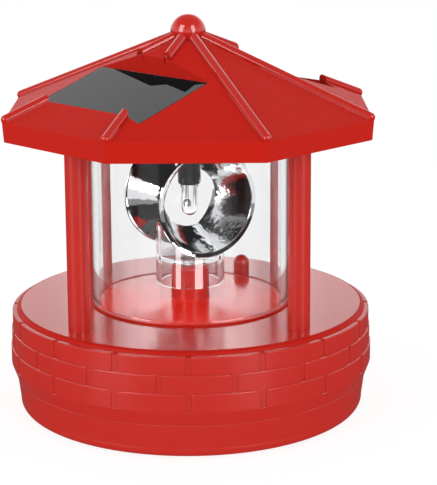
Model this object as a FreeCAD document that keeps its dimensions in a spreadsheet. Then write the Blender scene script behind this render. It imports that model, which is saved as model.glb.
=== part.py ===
"""Garden lighthouse lantern: brick-banded base, clear lantern with a turning reflector, solar roof.

Millimetres, +Z up. The origin is at the centre of the base, on the surface that it stands on.
The solar panels face -135 and +45 degrees; -Y is the front.
"""
import FreeCAD, Part
import Sketcher
import math
import os
import re

V = FreeCAD.Vector
UP = V(0, 0, 1)
doc = FreeCAD.newDocument("garden_lighthouse")

# ---------------------------------------------------------------- driving dimensions
DIMENSIONS = {
    # base pan and deck
    "foot_drop": 0.5, "foot_radius": 4.5, "foot_height": 1.7, "foot_pitch": 49.0,
    "pan_floor": 2.0, "pan_low_radius": 55.0, "pan_mid_radius": 57.2, "pan_mid_height": 3.6,
    "seam_radius": 58.2, "seam_height": 11.3, "lap_radius": 56.6, "lap_height": 15.0, "pan_wall": 1.6,
    "deck_height": 35.0, "deck_wall": 2.2, "rim_radius": 57.8, "rim_round": 1.4,
    "band_top": 33.6, "band_low": 16.2, "course_height": 5.8, "course_step": 0.5,
    "band_radius": 60.0, "joint_width": 1.9, "joint_depth": 0.45, "bricks_per_course": 16,
    "bond_offset": 13.75, "joint_sink": 0.1,
    # lantern cylinder and the ring that holds it
    "glass_radius": 32.4, "glass_wall": 2.0, "groove_depth": 1.0, "groove_room": 0.1,
    "collar_width": 1.0, "collar_height": 0.8, "gasket_height": 0.6,
    # motor boss on the deck
    "boss_radius": 6.3, "boss_height": 12.5, "boss_draft": 0.15, "bush_radius": 2.6, "bush_length": 6.0,
    "boss_hollow": 4.2,
    # pillars
    "pillar_pitch": 48.9, "pillar_radius": 3.5, "pillar_bore": 2.0, "spigot_radius": 2.9,
    # roof
    "fascia_low": 93.1, "fascia_top": 99.5, "eave_low_radius": 62.6, "eave_radius": 63.1,
    "apex_height": 124.8, "roof_wall": 2.2, "ceiling_low": 93.9, "ceiling_thick": 2.0, "ceiling_radius": 60.2,
    "rib_width": 2.9, "rib_height": 1.9, "apex_boss_radius": 7.5, "apex_boss_low": 115.5,
    "ball_radius": 5.7, "ball_height": 124.7, "ball_stem": 2.0, "ball_stem_length": 13.5,
    "roof_boss_pitch": 40.0, "roof_boss_radius": 3.0,
    # solar panels
    "panel_length": 49.6, "panel_near": 15.4, "panel_far": 44.8, "panel_slope": 0.3076,
    "panel_edge_height": 112.5, "board_thick": 1.0, "cell_thick": 0.3, "cover_thick": 0.7,
    "tray_floor": 1.6, "tray_wall": 1.6, "panel_room": 0.2,
    "panel_wire_reach": 20.0, "panel_wire_turn": 5.0,
    # light source
    "holder_radius": 3.75, "holder_low": 74.5, "holder_bore": 2.0, "holder_flange": 6.0,
    "holder_flange_thick": 1.5, "holder_stub": 3.0, "lamp_radius": 2.6, "lamp_flange_radius": 2.95,
    "lamp_flange_thick": 1.0, "lamp_tip": 63.8, "lead_size": 0.5, "lead_gap": 2.54,
    # turning reflector
    "optic_height": 70.0, "rim_offset": 12.5, "dish_rim_radius": 17.9, "dish_lip": 1.5,
    "dish_waist_radius": 9.8, "dish_wall": 1.2, "lip_thick": 1.0, "lamp_opening": 4.7,
    "optic_heading": -59.5, "sleeve_radius": 11.4, "sleeve_wall": 1.5, "sleeve_low": 41.5,
    "sleeve_top": 61.5, "web_low": 49.6, "web_thick": 1.5, "hub_radius": 3.4, "hub_low": 48.0,
    "hub_top": 52.0,
    # gear train
    "gear_module": 0.5, "wheel_teeth": 48, "pinion_teeth": 12, "wheel_thick": 2.5, "tray_low": 15.5,
    "tray_plate": 1.5, "tray_top": 28.3, "train_wall": 1.2, "stage_pitch": 3.2, "first_stage": 18.0,
    "shaft_radius": 1.5, "pin_radius": 1.0, "running_gap": 0.04, "post_radius": 2.4, "screw_radius": 1.0,
    # motor
    "motor_radius": 12.0, "motor_low": 3.2, "motor_boss": 3.0, "motor_boss_height": 1.3,
    # battery and its compartment
    "cell_radius": 7.25, "cell_length": 49.5, "nub_radius": 2.7, "nub_length": 1.0, "cell_y": 22.5,
    "cell_z": 10.25, "bay_half": 29.5, "bay_wall": 1.4, "bay_top": 14.2, "door_thick": 1.1,
    "bay_side": 7.5, "spring_room": 3.4, "door_half": 28.2, "door_side": 8.1, "door_screw_x": 32.0,
    "door_tab": 4.0, "door_room": 0.2, "door_plug": 26.0, "door_plug_side": 6.8, "door_post": 6.5,
    "door_sink": 0.5,
    # control board and switch
    "board_low": 20.4, "board_height": 1.6, "button_x": 18.3, "button_y": 31.8, "button_radius": 2.9,
    "button_top": 41.9, "button_travel": 1.5, "button_stem": 1.2, "button_flange": 1.0,
    "flange_drop": 1.8, "flange_thick": 1.4, "switch_size": 7.0, "switch_height": 6.0,
    # tall screw posts from the deck to the pan
    "tie_pitch": 49.0, "tie_radius": 3.2, "tie_screw": 1.3, "tie_head": 1.2, "head_reach": 1.2,
}

sheet = doc.addObject("Spreadsheet::Sheet", "dims")
for row, (alias, value) in enumerate(DIMENSIONS.items(), start=1):
    sheet.set(f"A{row}", alias)
    sheet.set(f"B{row}", str(value))
    sheet.setAlias(f"B{row}", alias)
doc.recompute()

nodes = []


def formula(text):
    """An expression on the sheet: each alias gets the sheet's name in front of it."""
    return re.sub(r"[a-z]\w*", lambda word: ("dims." if word[0] in DIMENSIONS else "") + word[0], str(text))


def size(text):
    """The value, in millimetres, of an expression on the sheet."""
    result = sheet.evalExpression(formula(text))
    return float(getattr(result, "Value", result))


# ---------------------------------------------------------------- sketches and features
def new_body(label):
    body = doc.addObject("PartDesign::Body", label)
    body.Label = label
    nodes.append(body)
    return body


def new_sketch(body, plane, name, lift="0"):
    sketch = body.newObject("Sketcher::SketchObject", name)
    origin = {item.Role: item for item in body.Origin.OriginFeatures}
    sketch.AttachmentSupport = [(origin[plane], "")]
    sketch.MapMode = "FlatFace"
    sketch.setExpression("AttachmentOffset.Base.z", formula(lift))
    return sketch


def fix_point(sketch, curve, end, x, y):
    """Hold one point of a sketch at an x and a y that follow the sheet."""
    for kind, axis, text in (("DistanceX", -2, x), ("DistanceY", -1, y)):
        if abs(size(text)) < 1e-9:
            sketch.addConstraint(Sketcher.Constraint("PointOnObject", curve, end, axis))
            continue
        index = sketch.addConstraint(Sketcher.Constraint(kind, -1, 1, curve, end, size(text)))
        sketch.setExpression(f"Constraints[{index}]", formula(text))


def draw_outline(sketch, points):
    """A closed outline through points; a point with a third entry is where an arc's middle lies."""
    first = sketch.GeometryCount
    corners = [point for point in points if len(point) == 2]
    middles = {}
    corner = -1
    for point in points:
        if len(point) == 2:
            corner += 1
        else:
            middles[corner] = V(size(point[0]), size(point[1]), 0)
    count = len(corners)
    places = [V(size(x), size(y), 0) for x, y in corners]
    for index in range(count):
        start, end = places[index], places[(index + 1) % count]
        if index in middles:
            sketch.addGeometry(Part.Arc(start, middles[index], end), False)
        else:
            sketch.addGeometry(Part.LineSegment(start, end), False)
    for index in range(count):
        curve = first + index
        following = first + (index + 1) % count
        turned = is_reversed(sketch, curve, places[index])
        next_turned = is_reversed(sketch, following, places[(index + 1) % count])
        sketch.addConstraint(Sketcher.Constraint("Coincident", curve, 1 if turned else 2,
                                                 following, 2 if next_turned else 1))
        fix_point(sketch, curve, 2 if turned else 1, *corners[index])
        if index in middles:
            bend = sketch.addConstraint(Sketcher.Constraint("Radius", curve, sketch.Geometry[curve].Radius))
            sketch.renameConstraint(bend, f"bend_{curve}")


def is_reversed(sketch, curve, start):
    """Whether a curve of the sketch runs the other way from the point where it should start."""
    return sketch.getPoint(curve, 1).distanceToPoint(start) > 1e-6


def draw_circle(sketch, radius, x="0", y="0"):
    index = sketch.addGeometry(Part.Circle(V(size(x), size(y), 0), UP, size(radius)), False)
    bend = sketch.addConstraint(Sketcher.Constraint("Radius", index, size(radius)))
    sketch.setExpression(f"Constraints[{bend}]", formula(radius))
    fix_point(sketch, index, 3, x, y)


def lathe(label, outline):
    """A body turned about Z from an outline of (radius, height) points."""
    body = new_body(label)
    sketch = new_sketch(body, "XZ_Plane", label + "_profile")
    draw_outline(sketch, outline)
    turn = body.newObject("PartDesign::Revolution", label + "_turn")
    turn.Profile = sketch
    turn.ReferenceAxis = (sketch, ["V_Axis"])
    turn.Angle = 360
    body.Tip = turn
    return body


def pad(body, name, low, high, shapes, cut=False):
    """Add, or cut away, what shapes draw on a level plane, between two heights."""
    sketch = new_sketch(body, "XY_Plane", name + "_sketch", low)
    for draw, arguments in shapes:
        draw(sketch, *arguments)
    feature = body.newObject("PartDesign::Pocket" if cut else "PartDesign::Pad", name)
    feature.Profile = sketch
    feature.setExpression("Length", formula(f"({high}) - ({low})"))
    feature.Reversed = cut
    body.Tip = feature
    return feature


def circle(radius, x="0", y="0"):
    return draw_circle, (radius, x, y)


def circle_at(radius, pitch, angle):
    """A circle on a pitch circle, at an angle in degrees."""
    centre = polar(pitch, angle)
    return circle(radius, round(centre.x, 6), round(centre.y, 6))


def outline(points):
    return draw_outline, (points,)


def rectangle(x_low, x_high, y_low, y_high):
    return outline([(x_low, y_low), (x_high, y_low), (x_high, y_high), (x_low, y_high)])


def around(body, feature, count):
    """Repeat a feature evenly round the Z axis."""
    pattern = body.newObject("PartDesign::PolarPattern", feature.Name + "_round")
    pattern.Originals = [feature]
    pattern.Axis = (feature.Profile[0], ["N_Axis"])
    pattern.Angle = 360
    pattern.Occurrences = count
    body.Tip = pattern
    return pattern


def cylinder_body(label, radius, low, high, bore=None):
    body = new_body(label)
    rings = [circle(radius)] if bore is None else [circle(radius), circle(bore)]
    pad(body, label + "_pad", low, high, rings)
    return body


def place(body, x, y, turn="0"):
    """Move a body in plan; x, y and the turn about Z follow the sheet."""
    body.setExpression("Placement.Base.x", formula(x))
    body.setExpression("Placement.Base.y", formula(y))
    body.setExpression("Placement.Rotation.Angle", formula(f"({turn}) * 1 deg"))
    return body


def solid(label, shape, place_at=None):
    """A piece made from a shape of Part's own, for gears, sweeps, slanted panels and groups."""
    feature = doc.addObject("Part::Feature", label)
    feature.Label = label
    feature.Shape = shape
    if place_at is not None:
        feature.Placement = place_at
    nodes.append(feature)
    return feature


def turned(angle, x=0.0, y=0.0, z=0.0):
    return FreeCAD.Placement(V(x, y, z), FreeCAD.Rotation(UP, angle))


def round_bar(radius, low, high, x=0.0, y=0.0):
    return Part.makeCylinder(radius, high - low, V(x, y, low), UP)


def polar(radius, degrees, z=0.0):
    return V(radius * math.cos(math.radians(degrees)), radius * math.sin(math.radians(degrees)), z)


D = {alias: float(value) for alias, value in DIMENSIONS.items()}

# ---------------------------------------------------------------- base
deck_low = "deck_height - deck_wall"
SWITCH_PLACE = ("button_x", "button_y")
TIE_ANGLES = (0, 90, 180, 270)
PILLARS = {"back_right": 45, "back_left": 135, "front_left": 225, "front_right": 315}
TRAIN_CORNERS = ((-26.5, -24.5), (19.0, -24.5), (19.0, 11.5), (-26.5, 11.5))
BOARD_POSTS = ((-1.0, 20.0), (25.5, 38.5))


def make_deck_shell():
    """Deck, brick band and motor boss in one moulding, with posts below for all that it carries."""
    groove_out = "glass_radius + groove_room"
    groove_in = "glass_radius - glass_wall - groove_room"
    collar_out = "glass_radius + groove_room + collar_width"
    profile = [
        ("bush_radius", "deck_height + boss_height"),
        ("boss_radius - boss_draft", "deck_height + boss_height"),
        ("boss_radius", "deck_height"), (groove_in, "deck_height"),
        (groove_in, "deck_height - groove_depth"), (groove_out, "deck_height - groove_depth"),
        (groove_out, "deck_height + collar_height"), (collar_out, "deck_height + collar_height"),
        (collar_out, "deck_height"), ("rim_radius - rim_round", "deck_height"),
        ("rim_radius - rim_round * 0.293", "deck_height - rim_round * 0.293", "arc"),
        ("rim_radius", "deck_height - rim_round"),
        ("band_radius - 2 * course_step", "deck_height - rim_round"),
    ]
    for course in (2, 1):
        level = f"band_top - course_height * {3 - course}"
        profile.append((f"band_radius - {course} * course_step", level))
        profile.append((f"band_radius - {course - 1} * course_step", level))
    profile += [
        ("band_radius", "band_low"), ("seam_radius", "seam_height"), ("lap_radius", "seam_height"),
        ("lap_radius", deck_low), ("boss_hollow", deck_low),
        ("boss_hollow", "deck_height + boss_height - bush_length"),
        ("bush_radius", "deck_height + boss_height - bush_length"),
    ]
    body = lathe("deck_shell", profile)
    for course in (0, 1, 2):
        reach = f"(band_radius - {2 - course} * course_step)"
        shift = size("bond_offset") if course == 1 else 0.0
        joint = make_brick_joint(body, course, reach, shift)
        around(body, joint, int(D["bricks_per_course"]))
    for index, (x, y) in enumerate(TRAIN_CORNERS):
        pad(body, f"train_post_{index}", "tray_top + tray_plate", deck_low,
            [circle("post_radius", x, y), circle("screw_radius", x, y)])
    for index, (x, y) in enumerate(BOARD_POSTS):
        pad(body, f"board_post_{index}", "board_low + board_height", deck_low,
            [circle("post_radius", x, y), circle("screw_radius", x, y)])
    for angle in TIE_ANGLES:
        pad(body, f"tie_post_{angle}", "foot_drop + pan_floor", deck_low,
            [circle_at("tie_radius", D["tie_pitch"], angle), circle_at("tie_screw", D["tie_pitch"], angle)])
    holes = [circle("button_radius + running_gap * 2", *SWITCH_PLACE)]
    holes += [circle_at("spigot_radius", D["pillar_pitch"], angle) for angle in PILLARS.values()]
    pad(body, "deck_holes", deck_low + " - 1", "deck_height + 1", holes, cut=True)


def make_brick_joint(body, course, reach, shift):
    """One upright mortar joint of a course: a shallow slot across the band's face, at the front."""
    low = f"band_top - course_height * {course + 1} + joint_sink"
    high = f"band_top - course_height * {course} + 1"
    if course > 0:
        high = f"band_top - course_height * {course}"
    slot = pad(body, f"brick_joint_{course}", low, high,
               [rectangle("-joint_width / 2", "joint_width / 2", f"-{reach} - 2", f"joint_depth - {reach}")],
               cut=True)
    slot.Profile[0].setExpression("AttachmentOffset.Rotation.Angle", f"{shift} * 1 deg")
    return slot


def make_base_pan():
    """The smooth lower cup: it laps inside the band and carries the battery bay."""
    body = lathe("base_pan", [
        ("0", "foot_drop"), ("pan_low_radius", "foot_drop"),
        ("pan_mid_radius - 0.55", "foot_drop + 1.0", "arc"),
        ("pan_mid_radius", "pan_mid_height"), ("seam_radius", "seam_height"), ("lap_radius", "seam_height"),
        ("lap_radius", "lap_height"), ("lap_radius - pan_wall", "lap_height"),
        ("lap_radius - pan_wall", "foot_drop + pan_floor"), ("0", "foot_drop + pan_floor")])
    pad(body, "battery_bay", "foot_drop + pan_floor", "bay_top", [
        rectangle("-bay_half - bay_wall", "bay_half - spring_room + bay_wall",
                  "cell_y - bay_side - bay_wall", "cell_y + bay_side + bay_wall"),
        rectangle("-bay_half", "bay_half - spring_room", "cell_y - bay_side", "cell_y + bay_side")])
    door_screw = circle("screw_radius", "door_screw_x", "cell_y")
    pad(body, "door_screw_post", "foot_drop + pan_floor", "foot_drop + pan_floor + door_post",
        [circle("screw_radius + bay_wall", "door_screw_x", "cell_y"), door_screw])
    pad(body, "door_screw_hole", "0", "foot_drop + pan_floor + 0.2", [door_screw], cut=True)
    pad(body, "door_seat", "0", "foot_drop + door_thick", [door_outline("door_room")], cut=True)
    pad(body, "battery_opening", "0", "foot_drop + pan_floor + 1",
        [rectangle("-door_plug - door_room", "door_plug + door_room - 1.4",
                   "cell_y - door_plug_side - door_room", "cell_y + door_plug_side + door_room")], cut=True)
    ties = [circle_at("tie_screw", D["tie_pitch"], angle) for angle in TIE_ANGLES]
    heads = [circle_at("tie_screw + head_reach + 0.1", D["tie_pitch"], angle) for angle in TIE_ANGLES]
    feet = [circle_at("foot_radius", D["foot_pitch"], angle) for angle in PILLARS.values()]
    pad(body, "tie_holes", "0", "foot_drop + pan_floor + 1", ties, cut=True)
    pad(body, "tie_heads", "0", "foot_drop + tie_head", heads, cut=True)
    pad(body, "foot_seats", "0", "foot_height", feet, cut=True)


def door_outline(room):
    """The battery door in plan: a plate with a narrower tab for its screw, grown by some room."""
    left, right, tab_end = f"-door_half - {room}", f"door_half - 1 + {room}", f"door_screw_x + 3.2 + {room}"
    low, high = f"cell_y - door_side - {room}", f"cell_y + door_side + {room}"
    tab_low, tab_high = f"cell_y - door_tab - {room}", f"cell_y + door_tab + {room}"
    return outline([(left, low), (right, low), (right, tab_low), (tab_end, tab_low), (tab_end, tab_high),
                    (right, tab_high), (right, high), (left, high)])


def make_base():
    make_deck_shell()
    make_base_pan()
    for name, angle in PILLARS.items():
        foot = cylinder_body(f"foot_{name}", "foot_radius", "0", "foot_height")
        centre = polar(D["foot_pitch"], angle)
        place(foot, centre.x, centre.y)
    door = new_body("battery_door")
    pad(door, "door_plate", "foot_drop + 0.1", "foot_drop + door_thick",
        [door_outline("0"), circle("screw_radius + 0.1", "door_screw_x", "cell_y")])
    pad(door, "door_plug_pad", "foot_drop + door_thick", "foot_drop + pan_floor",
        [rectangle("-door_plug", "door_plug - 1.4", "cell_y - door_plug_side", "cell_y + door_plug_side")])
    pad(door, "door_screw_sink", "foot_drop", "foot_drop + 0.1 + door_sink",
        [circle("screw_radius + head_reach", "door_screw_x", "cell_y")], cut=True)
    screws_at("base_screws", D["tie_screw"], D["foot_drop"] + D["tie_head"], 14.0,
              [polar(D["tie_pitch"], angle) for angle in TIE_ANGLES])
    screws_at("battery_door_screw", D["screw_radius"], D["foot_drop"] + 0.1 + D["door_sink"], 6.6,
              [V(D["door_screw_x"], D["cell_y"], 0)], head_height=0.5)


def screw(radius, head_top, length, head_height):
    """A screw driven upwards: its head hangs below head_top, with a cross recess."""
    slot_width, slot_depth = 0.6, 0.6 * head_height
    reach = radius + D["head_reach"]
    head_low = head_top - head_height
    body = round_bar(radius, head_top, head_top + length).fuse(round_bar(reach, head_low, head_top))
    slot = Part.makeBox(1.4 * reach, slot_width, slot_depth, V(-0.7 * reach, -slot_width / 2, head_low))
    return body.cut(slot.fuse(slot.rotated(V(0, 0, 0), UP, 90)))


def screws_at(label, radius, head_top, length, places, head_height=0.9):
    """Identical screws in one node, one at each place."""
    solid(label, Part.makeCompound([screw(radius, head_top, length, head_height).translate(V(p.x, p.y, 0))
                                    for p in places]))


# ---------------------------------------------------------------- lantern
def make_lantern():
    low = "deck_height - groove_depth + gasket_height"
    high = "ceiling_low + groove_depth - gasket_height"
    cylinder_body("lantern_cylinder", "glass_radius", low, high, "glass_radius - glass_wall")
    cylinder_body("lower_gasket", "glass_radius + groove_room", "deck_height - groove_depth", low,
                  "glass_radius - glass_wall - groove_room")
    cylinder_body("upper_gasket", "glass_radius + groove_room", high, "ceiling_low + groove_depth",
                  "glass_radius - glass_wall - groove_room")
    ceiling_high = "ceiling_low + ceiling_thick"
    for name, angle in PILLARS.items():
        pillar = lathe(f"pillar_{name}", [
            ("pillar_bore", deck_low), ("spigot_radius", deck_low), ("spigot_radius", "deck_height"),
            ("pillar_radius", "deck_height"), ("pillar_radius", "ceiling_low"),
            ("spigot_radius", "ceiling_low"), ("spigot_radius", ceiling_high), ("pillar_bore", ceiling_high)])
        centre = polar(D["pillar_pitch"], angle)
        place(pillar, centre.x, centre.y)


# ---------------------------------------------------------------- roof
def octagon(radius, height):
    """A regular octagon with its corners 22.5 degrees off the axes."""
    return Part.makePolygon([polar(radius, 22.5 + 45 * index, height) for index in range(9)])


def octagon_loft(*levels):
    return Part.makeLoft([octagon(radius, height) for radius, height in levels], True, True)


def ridge_height(radius):
    """Height of the roof's surface on a ridge, at a distance from the centre."""
    return D["apex_height"] - radius * (D["apex_height"] - D["fascia_top"]) / D["eave_radius"]


def make_rib():
    """A half-round rib along one ridge, from the ball out over the eave corner."""
    reach = D["eave_radius"] - 1.4
    start = V(0, 0, ridge_height(0))
    end = V(reach, 0, ridge_height(reach))
    along = (end - start).normalize()
    half = D["rib_width"] / 2
    rise = D["rib_height"] - half
    side = V(0, 1, 0)
    out = V(-along.z, 0, along.x)
    sink = -2.0
    corners = [start + side * half + out * sink, start - side * half + out * sink,
               start - side * half + out * rise, start + side * half + out * rise]
    crown = Part.Arc(corners[2], start + out * (rise + half), corners[3]).toShape()
    walls = Part.makePolygon([corners[3], corners[0], corners[1], corners[2]]).Edges
    section = Part.Face(Part.Wire([crown] + walls))
    bar = section.extrude(end - start)
    nose = Part.makeCylinder(half, rise - sink, end + out * sink, out)
    cap = Part.makeSphere(half, end + out * rise)
    return bar.multiFuse([nose, cap]).rotated(V(0, 0, 0), UP, 22.5)


def slab(near, far, half, drop_low, drop_high):
    """A slanted slab under a solar panel's plane, upright at its edges, facing +X."""
    heights = [D["panel_edge_height"] - D["panel_slope"] * (reach - D["panel_near"]) for reach in (near, far)]
    base = [V(near, -half, heights[0] - drop_low), V(far, -half, heights[1] - drop_low),
            V(far, half, heights[1] - drop_low), V(near, half, heights[0] - drop_low)]
    face = Part.Face(Part.makePolygon(base + base[:1]))
    return face.extrude(V(0, 0, drop_low - drop_high))


PANEL_ANGLES = {"front": -135, "rear": 45}
PANEL_LANES = 4
PANEL_STACK = D["board_thick"] + D["cell_thick"] + D["cover_thick"]


def make_roof_shell():
    wall = D["roof_wall"]
    outer = octagon_loft((D["eave_low_radius"], D["fascia_low"]), (D["eave_radius"], D["fascia_top"]),
                         (0.5, ridge_height(0.5)))
    inner = octagon_loft((D["eave_low_radius"] - wall, D["fascia_low"] - 1),
                         (D["eave_radius"] - wall, D["fascia_top"] - wall * 0.6),
                         (0.5, ridge_height(0.5) - wall * 1.1))
    shell = outer.cut(inner)
    additions = []
    for angle in PANEL_ANGLES.values():
        tray = slab(D["panel_near"] - D["tray_wall"], D["panel_far"] + D["tray_wall"],
                    D["panel_length"] / 2 + D["tray_wall"], PANEL_STACK + D["tray_floor"], -9.0)
        additions.append(tray.rotated(V(0, 0, 0), UP, angle).common(outer))
    top_boss = round_bar(D["apex_boss_radius"], D["apex_boss_low"], D["apex_height"])
    additions.append(top_boss.common(outer))
    for angle in TIE_ANGLES:
        centre = polar(D["roof_boss_pitch"], angle)
        post = round_bar(D["roof_boss_radius"], D["ceiling_low"] + D["ceiling_thick"], D["apex_height"],
                         centre.x, centre.y)
        additions.append(post.common(outer))
    rib = make_rib()
    ribs = [rib.rotated(V(0, 0, 0), UP, 45 * index) for index in range(8)]
    shell = shell.multiFuse(additions + ribs)
    cuts = [Part.makeSphere(D["ball_radius"], V(0, 0, D["ball_height"])),
            round_bar(D["ball_stem"], D["apex_boss_low"] - 1, D["ball_height"])]
    for name, angle in PANEL_ANGLES.items():
        pocket = slab(D["panel_near"], D["panel_far"], D["panel_length"] / 2, PANEL_STACK, -12.0)
        cuts.append(pocket.rotated(V(0, 0, 0), UP, angle))
        hole = panel_wire_place(name)
        cuts.append(round_bar(1.2, D["ceiling_low"], D["apex_height"], hole.x, hole.y))
    for angle in TIE_ANGLES:
        centre = polar(D["roof_boss_pitch"], angle)
        cuts.append(round_bar(D["tie_screw"], D["ceiling_low"], D["ceiling_low"] + 9.0, centre.x, centre.y))
    solid("roof_shell", shell.cut(Part.makeCompound(cuts)).removeSplitter())


def make_roof():
    make_roof_shell()
    lathe("finial_ball", [
        ("0", "ball_height - ball_stem_length"), ("ball_stem", "ball_height - ball_stem_length"),
        ("ball_stem", "ball_height - sqrt(ball_radius ^ 2 - ball_stem ^ 2)"),
        ("ball_radius", "ball_height", "arc"), ("0", "ball_height + ball_radius")])
    clip = cylinder_body("finial_clip", "4.5", "apex_boss_low - 0.8", "apex_boss_low", "ball_stem")
    pad(clip, "clip_teeth", "apex_boss_low - 1.6", "apex_boss_low - 0.8",
        [circle("ball_stem + 0.7"), circle("ball_stem")])
    ceiling = new_body("roof_ceiling")
    corners = [22.5 + 45 * index for index in range(8)]
    pad(ceiling, "ceiling_plate", "ceiling_low", "ceiling_low + ceiling_thick",
        [outline([(f"ceiling_radius * cos({angle} deg)", f"ceiling_radius * sin({angle} deg)")
                  for angle in corners])])
    holes = [circle("holder_radius")]
    holes += [circle_at("spigot_radius", D["pillar_pitch"], angle) for angle in PILLARS.values()]
    holes += [circle_at("tie_screw", D["roof_boss_pitch"], angle) for angle in TIE_ANGLES]
    pad(ceiling, "ceiling_holes", "ceiling_low - 1", "ceiling_low + ceiling_thick + 1", holes, cut=True)
    pad(ceiling, "ceiling_groove", "ceiling_low - 1", "ceiling_low + groove_depth",
        [circle("glass_radius + groove_room"), circle("glass_radius - glass_wall - groove_room")], cut=True)
    screws_at("roof_screws", D["tie_screw"], D["ceiling_low"], 9.0,
              [polar(D["roof_boss_pitch"], angle) for angle in TIE_ANGLES])


def make_panels():
    """Each panel is a board, dark cells and a clear cover, laid in its tray."""
    room = D["panel_room"]
    near, far, half = D["panel_near"] + room, D["panel_far"] - room, D["panel_length"] / 2 - room
    for name, angle in PANEL_ANGLES.items():
        board = slab(near, far, half, PANEL_STACK, D["cell_thick"] + D["cover_thick"])
        solid(f"panel_board_{name}", board, turned(angle))
        lane = (2 * half - 2.0) / PANEL_LANES
        strip = slab(near + 1.0, far - 1.0, lane / 2 - 0.25, D["cell_thick"] + D["cover_thick"],
                     D["cover_thick"])
        cells = [strip.copy().translate(V(0, (index + 0.5) * lane - half + 1.0, 0))
                 for index in range(PANEL_LANES)]
        solid(f"panel_cells_{name}", Part.makeCompound(cells), turned(angle))
        solid(f"panel_cover_{name}", slab(near, far, half, D["cover_thick"], 0.0), turned(angle))


# ---------------------------------------------------------------- light source
def make_lamp():
    stub_top = "ceiling_low + ceiling_thick + holder_stub"
    lathe("lamp_holder", [
        ("holder_bore", "holder_low"), ("holder_radius - 0.4", "holder_low"),
        ("holder_radius", "holder_low + 0.6"), ("holder_radius", "ceiling_low - holder_flange_thick"),
        ("holder_flange", "ceiling_low - holder_flange_thick"), ("holder_flange", "ceiling_low"),
        ("holder_radius", "ceiling_low"), ("holder_radius", stub_top), ("holder_bore", stub_top)])
    lathe("led_lamp", [
        ("0", "lamp_tip"), ("lamp_radius * 0.7071", "lamp_tip + lamp_radius * 0.2929", "arc"),
        ("lamp_radius", "lamp_tip + lamp_radius"), ("lamp_radius", "holder_low - lamp_flange_thick"),
        ("lamp_flange_radius", "holder_low - lamp_flange_thick"), ("lamp_flange_radius", "holder_low"),
        ("0", "holder_low")])
    leads = []
    for side in (-1, 1):
        centre = side * D["lead_gap"] / 2
        size_ = D["lead_size"]
        leads.append(Part.makeBox(size_, size_, 14.0, V(centre - size_ / 2, -size_ / 2, D["holder_low"])))
    solid("led_legs", Part.makeCompound(leads))


# ---------------------------------------------------------------- turning reflector
def dish_profile(reach_in, reach_out, swell=0.0):
    """Outline of one half of the reflector, in (distance along its axis, radius)."""
    waist, rim = D["dish_waist_radius"], D["dish_rim_radius"] - D["dish_lip"]
    growth = (rim ** 2 - waist ** 2) / D["rim_offset"]

    def bowl(distance):
        return math.sqrt(waist ** 2 + growth * distance)
    return bowl(reach_in) + swell, bowl((reach_in + reach_out) / 2) + swell, bowl(reach_out) + swell


def turn_dish(points, arcs):
    """Turn a closed outline in the XZ plane about the X axis at the optic's height."""
    edges = []
    for index, start in enumerate(points):
        end = points[(index + 1) % len(points)]
        if index in arcs:
            edges.append(Part.Arc(V(start[0], 0, start[1]), V(arcs[index][0], 0, arcs[index][1]),
                                  V(end[0], 0, end[1])).toShape())
        else:
            edges.append(Part.LineSegment(V(start[0], 0, start[1]), V(end[0], 0, end[1])).toShape())
    face = Part.Face(Part.Wire(edges))
    return face.revolve(V(0, 0, 0), V(1, 0, 0), 360).translate(V(0, 0, D["optic_height"]))


def make_half_dish():
    reach, lip = D["rim_offset"], D["rim_offset"] - D["lip_thick"]
    inner = dish_profile(0, reach)
    outer = dish_profile(0, lip, D["dish_wall"])
    points = [(0, inner[0]), (reach, inner[2]), (reach, D["dish_rim_radius"]), (lip, D["dish_rim_radius"]),
              (lip, outer[2]), (0, outer[0])]
    return turn_dish(points, {0: (reach / 2, inner[1]), 4: (lip / 2, outer[1])})


def make_dish_block():
    """The solid space that one half of the reflector fills, used to trim the sleeve."""
    reach, lip = D["rim_offset"], D["rim_offset"] - D["lip_thick"]
    outer = dish_profile(0, lip, D["dish_wall"])
    points = [(0, 0), (reach, 0), (reach, D["dish_rim_radius"]), (lip, D["dish_rim_radius"]),
              (lip, outer[2]), (0, outer[0])]
    return turn_dish(points, {4: (lip / 2, outer[1])})


def make_rotor():
    lamp_opening = round_bar(D["lamp_opening"], D["optic_height"], D["optic_height"] + 20)
    dish = make_half_dish().cut(lamp_opening)
    heading = D["optic_heading"]
    solid("front_reflector", dish, turned(heading))
    solid("rear_reflector", dish.copy(), turned(heading + 180))
    tube = round_bar(D["sleeve_radius"], D["sleeve_low"], D["sleeve_top"])
    bore = round_bar(D["sleeve_radius"] - D["sleeve_wall"], D["sleeve_low"], D["sleeve_top"])
    web = round_bar(D["sleeve_radius"], D["web_low"], D["web_low"] + D["web_thick"])
    hub = round_bar(D["hub_radius"], D["hub_low"], D["hub_top"])
    block = make_dish_block()
    trim = block.fuse(block.rotated(V(0, 0, 0), UP, 180))
    sleeve = tube.cut(bore).multiFuse([web, hub])
    sleeve = sleeve.cut(trim).cut(round_bar(D["shaft_radius"], D["sleeve_low"], D["sleeve_top"]))
    solid("rotor_sleeve", sleeve, turned(heading))
    cylinder_body("output_shaft", "shaft_radius", "tray_low + 0.4", "hub_top")
    cylinder_body("shaft_bush", "bush_radius", "deck_height + boss_height - bush_length",
                  "deck_height + boss_height", "shaft_radius + running_gap")


# ---------------------------------------------------------------- gear train
PRESSURE_ANGLE = math.radians(20)
ADDENDUM, DEDENDUM, BACKLASH = 0.75, 1.0, 0.12


def involute(angle):
    return math.tan(angle) - angle


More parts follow.
